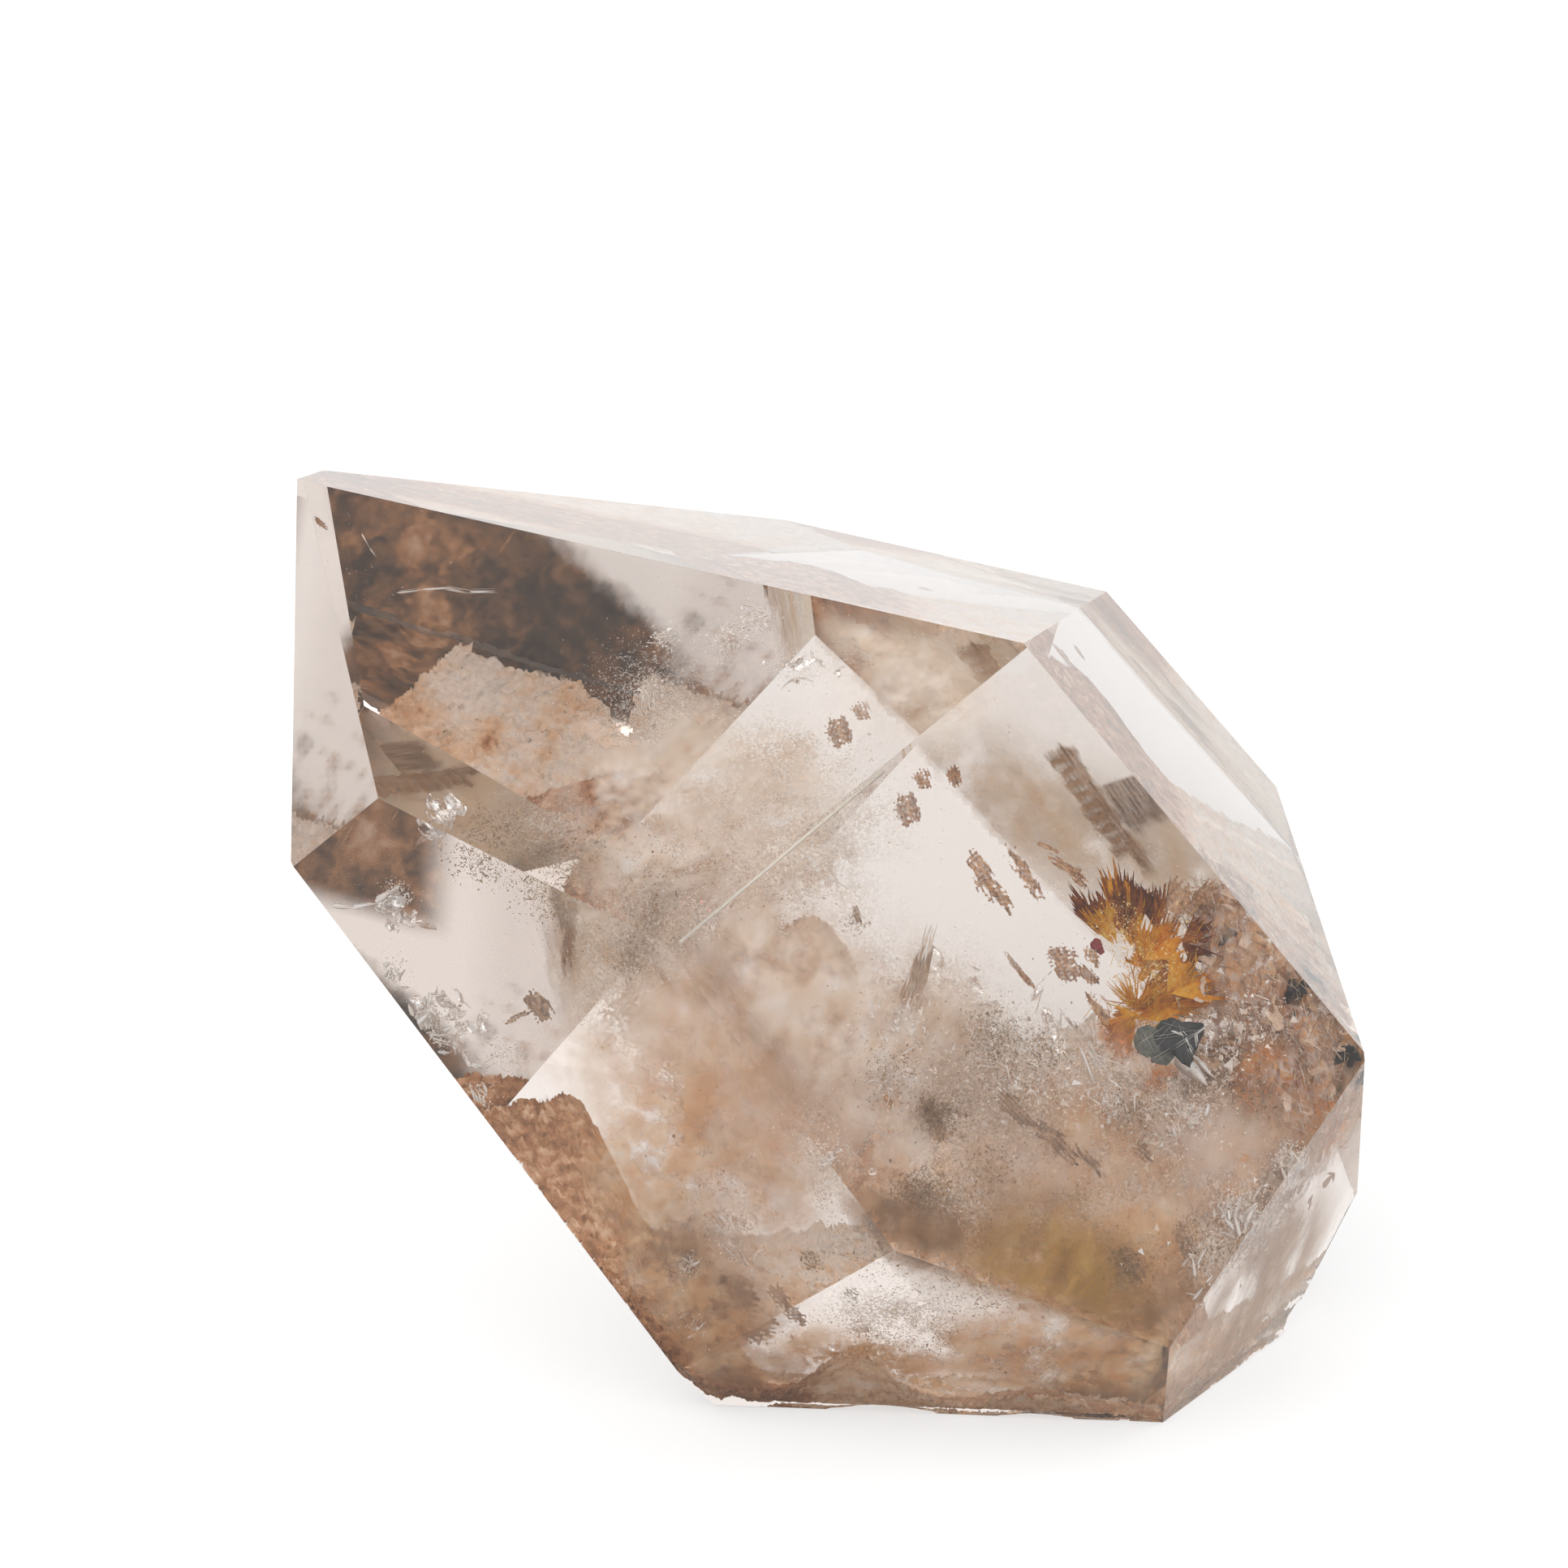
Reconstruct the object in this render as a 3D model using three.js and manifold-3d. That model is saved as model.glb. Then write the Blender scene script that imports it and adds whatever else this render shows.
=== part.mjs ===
// A free-standing quartz point, cut and polished from one natural crystal.
// Millimetres, +Z up, -Y towards the viewer. The origin is the middle of the footprint, on the base.
//
// The stone is a convex body bounded by flat facets. Most of them follow the crystal's own faces: six
// prism faces every 60 degrees around the crystal axis, and rhombohedral faces whose poles stand 51.8
// degrees off that axis. Polishing turned each of them by a few degrees. Four bevels and the sawn base
// follow the cutter instead. Shallow natural hollows and a chip break the rim of the base.

import * as THREE from "three";
import { mergeVertices } from "three/addons/utils/BufferGeometryUtils.js";
import Module from "manifold-3d";

// How the crystal axis stands
const AXIS_LEAN = 39; // degrees to the left of upright
const AXIS_NOD = 4.5; // degrees away from the viewer
const AXIS_SPIN = 32.5; // degrees that the crystal is turned about its own axis

// Angles of natural quartz between a face's pole and the crystal axis, in degrees
const PRISM_POLE = 90;
const RHOMB_POLE = 51.8;

// Every facet lies at a set distance from the heart, a point inside the stone
const HEART_HEIGHT = 31.1;

// Facets that follow the crystal: sector around the axis from the front, then the turn and the tip that
// polishing gave it, in degrees, and its distance from the heart
const PRISM_FACES = [
  { name: "front", sector: 0, turn: -1.5, tip: -3, distance: 25.6 },
  { name: "right", sector: 60, turn: -6, tip: -1.5, distance: 32.5 },
  { name: "back right", sector: 120, turn: 8.5, tip: -7, distance: 55.5 },
  { name: "back", sector: 180, turn: -1.5, tip: -5.5, distance: 51.5 },
  { name: "left underside", sector: 240, turn: -2, tip: -1.5, distance: 25.5 },
  { name: "front left", sector: 300, turn: 3, tip: -5, distance: 29.8 },
];
const RHOMB_FACES = [
  { name: "front slope", sector: 0, turn: 0, tip: 8, distance: 27.7 },
  { name: "top", sector: 60, turn: 1, tip: -1.25, distance: 31.2 },
  { name: "back slope", sector: 180, turn: 1.5, tip: 3.5, distance: 42.5 },
  { name: "left slope", sector: 240, turn: -5, tip: 3.5, distance: 39.4 },
  { name: "left sliver", sector: 300, turn: 1.5, tip: -5, distance: 43.6 },
];

// Bevels: the heading of their pole from the front towards the right, and its rise above level
const BEVELS = [
  { name: "front foot", heading: -5.5, rise: -30.5, distance: 35.3 },
  { name: "right foot", heading: 57, rise: -17, distance: 44.9 },
  { name: "right shoulder", heading: 89.5, rise: 5, distance: 44.4 },
  { name: "back foot", heading: 104.5, rise: -30.5, distance: 47.6 },
];

// Breaks in the rim of the base: middle and half sizes, from the origin
const RIM_BREAKS = [
  { name: "wide hollow", middle: [4.1, -35.9, 0], half: [4.6, 2.6, 0.8] },
  { name: "low hollow", middle: [16.4, -37.3, 0], half: [3.2, 1.9, 0.45] },
  { name: "pit", middle: [23.2, -37.9, 0], half: [1.0, 0.8, 0.4] },
  { name: "corner chip", middle: [39.8, -19.7, 1.3], half: [2.0, 2.4, 1.5] },
];
const BREAK_DETAIL = 3; // times that each break's icosahedron edge is split
const BREAK_RAGGEDNESS = 0.14; // share of its radius that a break's surface wanders

const CORNER_TOLERANCE = 1e-6;
const QUARTZ_FINISH = { color: 0xd8c6b4, roughness: 0.04, metalness: 0 };

const radians = THREE.MathUtils.degToRad;
const crystalTurn = new THREE.Euler(radians(-AXIS_NOD), radians(-AXIS_LEAN), radians(AXIS_SPIN), "YXZ");

// Facet whose pole stands at an angle from the crystal axis, in one sector around it
function crystalFacet({ sector, turn, tip, distance }, poleAngle) {
  const around = radians(sector + turn);
  const fromAxis = radians(poleAngle + tip);
  const pole = new THREE.Vector3(
    Math.sin(fromAxis) * Math.sin(around),
    -Math.sin(fromAxis) * Math.cos(around),
    Math.cos(fromAxis),
  );
  return { pole: pole.applyEuler(crystalTurn), distance };
}

// Facet whose pole has a compass heading and a rise
function cutFacet({ heading, rise, distance }) {
  const around = radians(heading);
  const up = radians(rise);
  const pole = new THREE.Vector3(
    Math.cos(up) * Math.sin(around),
    -Math.cos(up) * Math.cos(around),
    Math.sin(up),
  );
  return { pole, distance };
}

// Point where three facets meet, or null where two of them are parallel
function meetingPoint(a, b, c) {
  const poles = new THREE.Matrix3().set(
    a.pole.x, a.pole.y, a.pole.z,
    b.pole.x, b.pole.y, b.pole.z,
    c.pole.x, c.pole.y, c.pole.z,
  );
  if (Math.abs(poles.determinant()) < CORNER_TOLERANCE) return null;
  return new THREE.Vector3(a.distance, b.distance, c.distance).applyMatrix3(poles.invert());
}

// Corners of the body that all facets enclose, each with the facets that meet in it
function stoneCorners(facets) {
  const corners = [];
  for (let i = 0; i < facets.length; i++) {
    for (let j = i + 1; j < facets.length; j++) {
      for (let k = j + 1; k < facets.length; k++) {
        const point = meetingPoint(facets[i], facets[j], facets[k]);
        if (!point) continue;
        const inside = facets.every((f) => f.pole.dot(point) < f.distance + CORNER_TOLERANCE);
        if (inside) corners.push({ point, facets: [i, j, k] });
      }
    }
  }
  return corners;
}

// A facet's corners in order, anticlockwise as seen from outside
function facetOutline(facet, index, corners) {
  const members = corners.map((corner, id) => id).filter((id) => corners[id].facets.includes(index));
  const middle = new THREE.Vector3();
  for (const id of members) middle.addScaledVector(corners[id].point, 1 / members.length);
  const across = corners[members[0]].point.clone().sub(middle).normalize();
  const along = facet.pole.clone().cross(across);
  const bearing = (id) => {
    const arm = corners[id].point.clone().sub(middle);
    return Math.atan2(arm.dot(along), arm.dot(across));
  };
  return members.sort((a, b) => bearing(a) - bearing(b));
}

// Closed body of flat facets, standing on z = 0 with its footprint's box centred on the origin
function facetedBody(facets) {
  const corners = stoneCorners(facets);
  const triangles = [];
  facets.forEach((facet, index) => {
    const outline = facetOutline(facet, index, corners);
    for (let n = 1; n + 1 < outline.length; n++) triangles.push(outline[0], outline[n], outline[n + 1]);
  });
  const body = new THREE.BufferGeometry();
  body.setAttribute("position", new THREE.Float32BufferAttribute(corners.flatMap((c) => c.point.toArray()), 3));
  body.setIndex(triangles);
  body.computeBoundingBox();
  const { min, max } = body.boundingBox;
  return body.translate(-(min.x + max.x) / 2, -(min.y + max.y) / 2, -min.z);
}

// Ragged lump that a break in the rim is cut out with
function breakLump({ middle, half }) {
  const lump = new THREE.IcosahedronGeometry(1, BREAK_DETAIL);
  lump.deleteAttribute("normal");
  lump.deleteAttribute("uv");
  const shape = mergeVertices(lump);
  const position = shape.attributes.position;
  const point = new THREE.Vector3();
  for (let i = 0; i < position.count; i++) {
    point.fromBufferAttribute(position, i);
    const wander = Math.sin(5 * point.x + 2 * point.y) * Math.cos(4 * point.y - 3 * point.z);
    point.multiplyScalar(1 + BREAK_RAGGEDNESS * wander);
    position.setXYZ(i, point.x, point.y, point.z);
  }
  return shape.scale(...half).translate(...middle);
}

const wasm = await Module();
wasm.setup();

function toSolid(geometry) {
  return new wasm.Manifold(
    new wasm.Mesh({
      numProp: 3,
      vertProperties: new Float32Array(geometry.attributes.position.array),
      triVerts: new Uint32Array(geometry.index.array),
    }),
  );
}

function toGeometry(solid) {
  const mesh = solid.getMesh();
  const geometry = new THREE.BufferGeometry();
  geometry.setAttribute("position", new THREE.Float32BufferAttribute(mesh.vertProperties, 3));
  geometry.setIndex(new THREE.BufferAttribute(mesh.triVerts, 1));
  geometry.computeVertexNormals();
  return geometry;
}

const facets = [
  ...PRISM_FACES.map((face) => crystalFacet(face, PRISM_POLE)),
  ...RHOMB_FACES.map((face) => crystalFacet(face, RHOMB_POLE)),
  ...BEVELS.map(cutFacet),
  { pole: new THREE.Vector3(0, 0, -1), distance: HEART_HEIGHT },
];

let stone = toSolid(facetedBody(facets));
for (const rimBreak of RIM_BREAKS) stone = stone.subtract(toSolid(breakLump(rimBreak)));

const quartz = new THREE.Mesh(toGeometry(stone), new THREE.MeshStandardMaterial(QUARTZ_FINISH));
quartz.name = "quartz_point";

const group = new THREE.Group();
group.add(quartz);

export default group;
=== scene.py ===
import math

import bmesh
import bpy
import numpy as np
from bpy.props import FloatProperty, FloatVectorProperty, IntProperty, PointerProperty
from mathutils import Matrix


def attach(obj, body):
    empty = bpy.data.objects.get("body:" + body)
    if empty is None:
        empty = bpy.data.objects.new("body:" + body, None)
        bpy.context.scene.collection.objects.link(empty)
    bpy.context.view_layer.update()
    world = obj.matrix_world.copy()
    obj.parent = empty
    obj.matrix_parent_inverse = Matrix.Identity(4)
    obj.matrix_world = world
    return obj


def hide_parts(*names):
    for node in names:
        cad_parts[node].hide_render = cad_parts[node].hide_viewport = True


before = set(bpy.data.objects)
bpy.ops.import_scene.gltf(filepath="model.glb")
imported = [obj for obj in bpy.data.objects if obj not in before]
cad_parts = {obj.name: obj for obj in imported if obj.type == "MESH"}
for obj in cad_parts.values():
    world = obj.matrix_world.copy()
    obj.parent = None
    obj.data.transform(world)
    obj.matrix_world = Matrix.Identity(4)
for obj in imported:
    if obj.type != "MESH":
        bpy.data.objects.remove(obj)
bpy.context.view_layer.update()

bl_info = {
    "name": "Rutilated quartz point",
    "version": (1, 0, 0),
    "blender": (4, 5, 0),
    "location": "3D View > Sidebar > Quartz",
    "description": "A cut and polished quartz point with the minerals that grew inside it",
    "category": "Object",
}

MM = 0.001
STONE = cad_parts["quartz_point"]

# Faces of the CAD from this area on, in square metres, are cut facets; the rest are its hollows and its chip
FACET_AREA = 15 * MM * MM
# Rings and points round a ring of a plate and of a blade, and rows and points across of a leaf
PLATE_RINGS, PLATE_SIDES = 8, 18
BLADE_RINGS, BLADE_SIDES = 7, 4
LEAF_RIBS = 9
LEAF_ROWS, LEAF_COLUMNS = 16, 2 * LEAF_RIBS + 1
PLATE_POINTS, BLADE_POINTS, LEAF_POINTS = (
    PLATE_RINGS * PLATE_SIDES, BLADE_RINGS * BLADE_SIDES, LEAF_ROWS * LEAF_COLUMNS)
SHEET_ROWS = 26
# Sheets end this many millimetres under the surface, and where their fade is fainter than this
SKIN, FAINT = 0.15, 0.004
# Directions near those that the large facets face
FRONT_SLOPE, LEFT_FACET, UPPER_SLOPE = (0.325, -0.849, 0.416), (-0.42, -0.897, -0.137), (0.009, -0.687, 0.726)
FOOT_BEVEL, RIGHT_FOOT = (-0.083, -0.858, -0.508), (0.802, -0.521, -0.292)
BACK_FACET, BACK_FOOT = (0.221, 0.945, 0.241), (0.834, 0.216, -0.508)


def srgb(text):
    """Linear red, green and blue of an sRGB hex colour."""
    parts = [int(text[i:i + 2], 16) / 255 for i in (0, 2, 4)]
    return tuple(c / 12.92 if c <= 0.04045 else ((c + 0.055) / 1.055) ** 2.4 for c in parts)


def opaque(colour):
    """A colour with full alpha, as a shader's socket takes it."""
    return (*colour[:3], 1.0)


# Shapes


def facet_planes():
    """Outward normals and distances in millimetres of the stone's large facets: its triangles grouped by
    normal."""
    mesh = STONE.data
    mesh.calc_loop_triangles()
    count = len(mesh.loop_triangles)
    area, normal, corner = np.empty(count), np.empty(count * 3), np.empty(count * 3, int)
    mesh.loop_triangles.foreach_get("area", area)
    mesh.loop_triangles.foreach_get("normal", normal)
    mesh.loop_triangles.foreach_get("vertices", corner)
    place = np.empty(len(mesh.vertices) * 3)
    mesh.vertices.foreach_get("co", place)
    normal, place = normal.reshape(-1, 3), place.reshape(-1, 3)[corner.reshape(-1, 3)[:, 0]] / MM
    key = np.round(np.column_stack([normal * 50, (normal * place).sum(1) * 2])).astype(int)
    _, first, group = np.unique(key, axis=0, return_index=True, return_inverse=True)
    total = np.bincount(group.ravel(), weights=area)
    large = first[total > FACET_AREA]
    return normal[large], (normal[large] * place[large]).sum(1)


NORMALS, DISTANCES = facet_planes()


def depth_inside(points):
    """How far each point lies inside the stone, in millimetres: the least distance to a facet's plane."""
    return (DISTANCES - points @ NORMALS.T).min(-1)


def unit(vectors):
    """The same directions at length one."""
    vectors = np.asarray(vectors, float)
    return vectors / np.linalg.norm(vectors, axis=-1, keepdims=True)


def square_to(ways):
    """Two unit vectors square to each direction and to each other."""
    helper = np.where(np.abs(ways[..., 2:]) < 0.9, [0.0, 0.0, 1.0], [1.0, 0.0, 0.0])
    first = unit(np.cross(ways, helper))
    return first, np.cross(ways, first)


def turned(first, second, turn):
    """Two directions that are square to each other, both turned by an angle in their own plane."""
    return np.cos(turn) * first + np.sin(turn) * second, np.cos(turn) * second - np.sin(turn) * first


def facet(facing):
    """Number, normal and distance of the large facet that faces nearest to a direction."""
    k = int(np.argmax(NORMALS @ unit(facing)))
    return k, NORMALS[k], DISTANCES[k]


def noise(points, size, seed, count=4):
    """Smooth noise from about -1 to 1, summed in count rounds. Each round adds two products of sine waves
    along random directions, bent by the sum so far. The waves are size long in the first round, and half as
    long and 0.6 as high in each next one."""
    rng = np.random.default_rng(seed)
    points = np.asarray(points, float)
    value, height, total = np.zeros(points.shape[:-1]), 1.0, 0.0
    for _ in range(count):
        ways = unit(rng.normal(size=(4, points.shape[-1]))) * 2 * math.pi / size
        a, b, c, d = np.moveaxis(points @ ways.T + rng.uniform(0, 2 * math.pi, 4), -1, 0)
        waves = np.sin(a + 1.4 * value) * np.cos(b) + np.sin(c) * np.cos(d + 1.1 * value)
        value = value + height * waves * 0.7
        total, height, size = total + height, height * 0.6, size / 2
    return value / total


def bent(flat, size, reach, seed):
    """Points of a plane, moved by noise of one size as far as reach, which breaks the rows in finer noise
    there."""
    return flat + reach * np.stack([noise(flat, size, seed, 3), noise(flat, size, seed + 1, 3)], -1)


def step(values, low, high):
    """0 below low, 1 above high, and the smooth cubic 3t^2 - 2t^3 between them."""
    t = np.clip((np.asarray(values, float) - low) / (high - low), 0, 1)
    return t * t * (3 - 2 * t)


def grid_faces(count, rows, columns, round_columns):
    """Quads of count grids of rows by columns points each; round_columns joins each grid's last column to its
    first."""
    row, column = np.meshgrid(np.arange(rows - 1), np.arange(columns - (not round_columns)), indexing="ij")
    after = (column + 1) % columns
    quad = np.stack([row * columns + column, row * columns + after, (row + 1) * columns + after,
                     (row + 1) * columns + column], -1).reshape(-1, 4)
    return (quad[None] + (np.arange(count) * rows * columns)[:, None, None]).reshape(-1, 4)


def plates(rng, middle, facing, size, thickness, ragged, dish=0.0, stretch=1.0):
    """Thin closed plates. In each, the ring number runs from the middle of the top over the rim to the middle
    of the bottom, and the angle a runs round. The rim lies at size times 1 + ragged times a sum of sines of
    2a to 7a, stretch draws it out along one way, and a dish adds dish times the distance squared over size to
    the height."""
    middle, facing = np.atleast_2d(middle), unit(np.atleast_2d(facing))
    count = len(middle)
    size = np.broadcast_to(np.asarray(size, float), (count,))[:, None, None]
    across, along = square_to(facing)
    turn = rng.uniform(0, 2 * math.pi, (count, 1))
    across, along = turned(across, along, turn)
    angle = np.linspace(0, 2 * math.pi, PLATE_SIDES, endpoint=False)[None, :]
    waves = sum(
        rng.normal(size=(count, 1)) / k * np.sin(k * angle + rng.uniform(0, 6.3, (count, 1)))
        for k in range(2, 8))
    rim = np.clip(1 + ragged * waves, 0.35, 1.8)
    reach = np.array([0, 0.4, 0.75, 1, 1, 0.75, 0.4, 0])[None, :, None] * rim[:, None, :] * size
    side = np.array([1, 1, 1, 0.8, -0.8, -1, -1, -1])[None, :, None]
    x, y = reach * np.cos(angle[:, None]) * stretch, reach * np.sin(angle[:, None]) / stretch
    lift = side * thickness / 2 + dish * reach ** 2 / size
    places = (
        middle[:, None, None] + x[..., None] * across[:, None, None] + y[..., None] * along[:, None, None]
        + lift[..., None] * facing[:, None, None])
    tone = np.broadcast_to(rng.uniform(0, 1, (count, 1, 1)), reach.shape)
    return places.reshape(-1, 3), grid_faces(count, PLATE_RINGS, PLATE_SIDES, True), tone.ravel()


def blades(rng, root, way, spread, length, width, flat=0.3, bend=0.1, tone=None, facing=None):
    """Thin closed blades. Each one's middle line is root + way t + bend t^2 and its four-sided section is
    width times sqrt(6t) near the root and times 1 - t^3 towards the tip. Their flat sides face one direction,
    or any, and their tone runs between two values from root to tip, or is drawn at random for each."""
    root = np.atleast_2d(root)
    count = len(root)
    way = unit(unit(np.broadcast_to(way, root.shape)) + spread * rng.normal(size=root.shape))
    length = np.broadcast_to(np.asarray(length, float), (count,)) * rng.uniform(0.6, 1.2, count)
    width = np.broadcast_to(np.asarray(width, float), (count,)) * rng.uniform(0.6, 1.3, count)
    across, along = square_to(way)
    if facing is not None:
        across = unit(np.cross(way, facing))
        along = np.cross(way, across)
    turn = rng.uniform(0, math.pi, (count, 1)) if facing is None else rng.normal(0, 0.25, (count, 1))
    across, along = turned(across, along, turn)
    t = np.linspace(0, 1, BLADE_RINGS)
    taper = np.sqrt(np.clip(6 * t, 0, 1)) * (1 - t ** 3)
    line = (root[:, None] + (way * length[:, None])[:, None] * t[:, None]
            + (along * (bend * length)[:, None] * rng.normal(size=(count, 1)))[:, None] * (t ** 2)[:, None])
    half = (width[:, None] * taper)[:, :, None, None] / 2
    corner = np.array([[1, 0], [0, flat], [-1, 0], [0, -flat]])
    ring = corner[None, :, 0:1] * across[:, None] + corner[None, :, 1:2] * along[:, None]
    places = line[:, :, None] + half * ring[:, None]
    if tone is None:
        shade = rng.uniform(0, 1, (count, 1, 1))
    else:
        shade = tone[0] + (tone[1] - tone[0]) * t[None, :, None]
    shade = np.broadcast_to(shade, (count, BLADE_RINGS, BLADE_SIDES))
    return places.reshape(-1, 3), grid_faces(count, BLADE_RINGS, BLADE_SIDES, True), shade.ravel()


def petals(rng, root, tip, width):
    """Fan-shaped leaves, closed and thin. Over each one u runs from root to tip and v across from -1 to 1:
    the width grows as u^0.8, the outer edge is ragged, the leaf curls by curl (u^2 - 0.3 v^2) times its
    length, and radial ribs lift it by a cosine of v."""
    curl, ragged, half = 0.2, 0.16, LEAF_ROWS // 2
    count = len(root)
    way = tip - root
    length = np.linalg.norm(way, axis=1, keepdims=True)
    side, up = square_to(way / length)
    turn = rng.uniform(-0.7, 0.7, (count, 1)) + math.pi / 2
    side, up = turned(side, up, turn)
    u = np.concatenate([np.linspace(0.02, 1, half), np.linspace(1, 0.02, half)])
    v = np.linspace(-1, 1, LEAF_COLUMNS)
    skin = np.repeat([1.0, -1.0], half)
    jags = rng.normal(size=(count, len(v)))
    edge = 1 + ragged * (jags + 0.8 * np.cos(2.3 * v + rng.uniform(0, 6, (count, 1))))
    reach = u[None, :, None] * np.clip(1 + (edge[:, None] - 1) * u[None, :, None] ** 2, 0.4, 1.5)
    across = (u ** 0.8)[None, :, None] * v * np.broadcast_to(width, (count,))[:, None, None]
    lift = (curl * length[:, :, None] * (reach ** 2 - 0.3 * v ** 2) * rng.uniform(0.3, 1, (count, 1, 1))
            + 0.05 * np.cos(math.pi * LEAF_RIBS * v) * u[None, :, None] + 0.02 * skin[None, :, None])
    places = (
        root[:, None, None] + reach[..., None] * way[:, None, None] + across[..., None] * side[:, None, None]
        + lift[..., None] * up[:, None, None])
    # Painted sheen: the tone is lighter on one flank of each rib and darker on the other
    shine = 0.12 * np.cos(math.pi * LEAF_RIBS * v + 1)
    tone = np.clip(reach * 0.75 + shine + rng.uniform(-0.2, 0.2, (count, 1, 1)), 0, 1)
    return places.reshape(-1, 3), grid_faces(count, LEAF_ROWS, LEAF_COLUMNS, False), tone.ravel()


def grains(rng, points, size):
    """One three-cornered flake at each point, turned at random, size across, with corners at about 0, 120 and
    240 degrees round it."""
    count = len(points)
    across, along = square_to(unit(rng.normal(size=(count, 3))))
    angle = np.array([0, 2.1, 4.2]) + rng.uniform(-0.5, 0.5, (count, 3))
    reach = (0.5 * size * rng.lognormal(0, 0.35, (count, 1)) * rng.uniform(0.6, 1.3, (count, 3)))[..., None]
    way = np.cos(angle)[..., None] * across[:, None] + np.sin(angle)[..., None] * along[:, None]
    corners = points[:, None] + reach * way
    return corners.reshape(-1, 3), np.arange(count * 3).reshape(-1, 3), np.repeat(rng.uniform(0, 1, count), 3)


def cloud(rng, count, balls, wisp, seed, rough=0.5, margin=0.5):
    """Random points in soft balls, each a middle, half sizes and a share of the points. They stay where noise
    of the wisp size is high, and at least margin millimetres inside the stone."""
    middle, half, share = (np.array([b[k] for b in balls], float) for k in range(3))
    chosen, found = [], 0
    while found < count:
        ball = rng.choice(len(balls), 2 * count, p=share / share.sum())
        points = middle[ball] + half[ball] * rng.normal(size=(2 * count, 3)) * 0.6
        field = noise(points, wisp, seed, 4) * 1.6 + 0.5
        likely = rng.uniform(0, 1, len(points)) < (1 - rough) + rough * field
        dense = field > rng.uniform(-0.1, 0.5, len(points))
        points = points[likely & dense & (depth_inside(points) > margin)]
        chosen.append(points)
        found += len(points)
    return np.concatenate(chosen)[:count]


def density(points, balls):
    """Sum of soft balls, each its weight times exp(-|(p - middle) / half|^2)."""
    return sum(weight * np.exp(-(((points - np.array(middle)) / np.array(half)) ** 2).sum(-1))
               for middle, half, weight in balls)


def kept(shape, keep):
    """The faces of a shape whose points are all to be kept, and only the points that they use."""
    points, faces, *values = shape
    chosen = faces[keep[faces].all(1)]
    used, new = np.unique(chosen, return_inverse=True)
    return (points[used], new.reshape(-1, faces.shape[1]), *(value[used] for value in values))


def surface(places, *values):
    """An open surface over a grid of points, with values at each of them."""
    rows, columns = places.shape[:2]
    return (places.reshape(-1, 3), grid_faces(1, rows, columns, False), *(value.ravel() for value in values))


def sheets(rng, count, balls, facing, spread, size, wave, seed, blotch=2.5, deep=(0.5, 3.0)):
    """Wavy open sheets in soft balls. Over each one u and v run from -1 to 1, with x = u sqrt(1 - v^2 / 2)
    and y = v sqrt(1 - u^2 / 2), and noise lifts it by wave millimetres. The fade is the balls' density, and
    goes to 0 at the sheet's rim and between the two deep distances under the stone's surface. The tone is
    noise, blotch wide."""
    places_of, halves = np.array([b[0] for b in balls], float), np.array([b[1] for b in balls], float)
    share = np.array([b[2] for b in balls]) * np.prod(halves, axis=1) ** (1 / 3)
    ball = rng.choice(len(balls), count, p=share / share.sum())
    middle = places_of[ball] + halves[ball] * rng.normal(size=(count, 3)) * 0.5
    out = unit(unit(facing) + spread * rng.normal(size=(count, 3)))
    across, along = square_to(out)
    turn = rng.uniform(0, 2 * math.pi, (count, 1))
    across, along = turned(across, along, turn)
    u, v = np.meshgrid(np.linspace(-1, 1, SHEET_ROWS), np.linspace(-1, 1, SHEET_ROWS), indexing="ij")
    x, y = u * np.sqrt(1 - v * v / 2), v * np.sqrt(1 - u * u / 2)
    reach = (size * rng.uniform(0.7, 1.3, count))[:, None, None, None]
    places = (
        middle[:, None, None]
        + reach * (x[..., None] * across[:, None, None] + y[..., None] * along[:, None, None]))
    places = places + (wave * noise(places, 9, seed, 3))[..., None] * out[:, None, None]
    rim = 1 - step(np.sqrt(u * u + v * v - u * u * v * v), 0.45, 1.0)
    fade = rim * np.clip(density(places, balls), 0, 1) * step(depth_inside(places), *deep)
    tone = np.clip(
        0.5 + 0.6 * noise(places, 2 * blotch, seed + 1, 4) + rng.uniform(-0.15, 0.15, (count, 1, 1)), 0, 1)
    points, faces = places.reshape(-1, 3), grid_faces(count, SHEET_ROWS, SHEET_ROWS, False)
    inside = (depth_inside(points) > SKIN) & (fade.ravel() > FAINT)
    return kept((points, faces, tone.ravel(), fade.ravel()), inside)


def layers(facing, depths, balls, wave, seed, blotch=2.5):
    """Wavy open sheets that follow one facet at some depths under it. Noise lifts each of them by wave
    millimetres. The fade is the balls' density, and goes to 0 near the other facets, so that it shows through
    this facet alone."""
    k, out, distance = facet(facing)
    across, along = square_to(out)
    middle = np.mean([b[0] for b in balls], axis=0)
    middle = middle + out * (distance - middle @ out)
    s, t = np.meshgrid(np.arange(-42, 42, 0.8), np.arange(-42, 42, 0.8), indexing="ij")
    made = []
    for n, depth in enumerate(depths):
        places = middle + s[..., None] * across + t[..., None] * along
        places = places - (depth + wave * noise(places, 9, seed + n, 3))[..., None] * out
        others = np.delete(DISTANCES - places @ NORMALS.T, k, axis=-1).min(-1)
        fade = np.clip(density(places, balls), 0, 1) * step(others, 0.5 * depth, 0.5 + 0.8 * depth)
        tone = np.clip(0.5 + 0.6 * noise(places, 2 * blotch, seed + 20, 4), 0, 1)
        inside = (depth_inside(places) > SKIN) & (fade > FAINT)
        made.append(kept(surface(places, tone, fade), inside.ravel()))
    return joined(*made)


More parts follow.
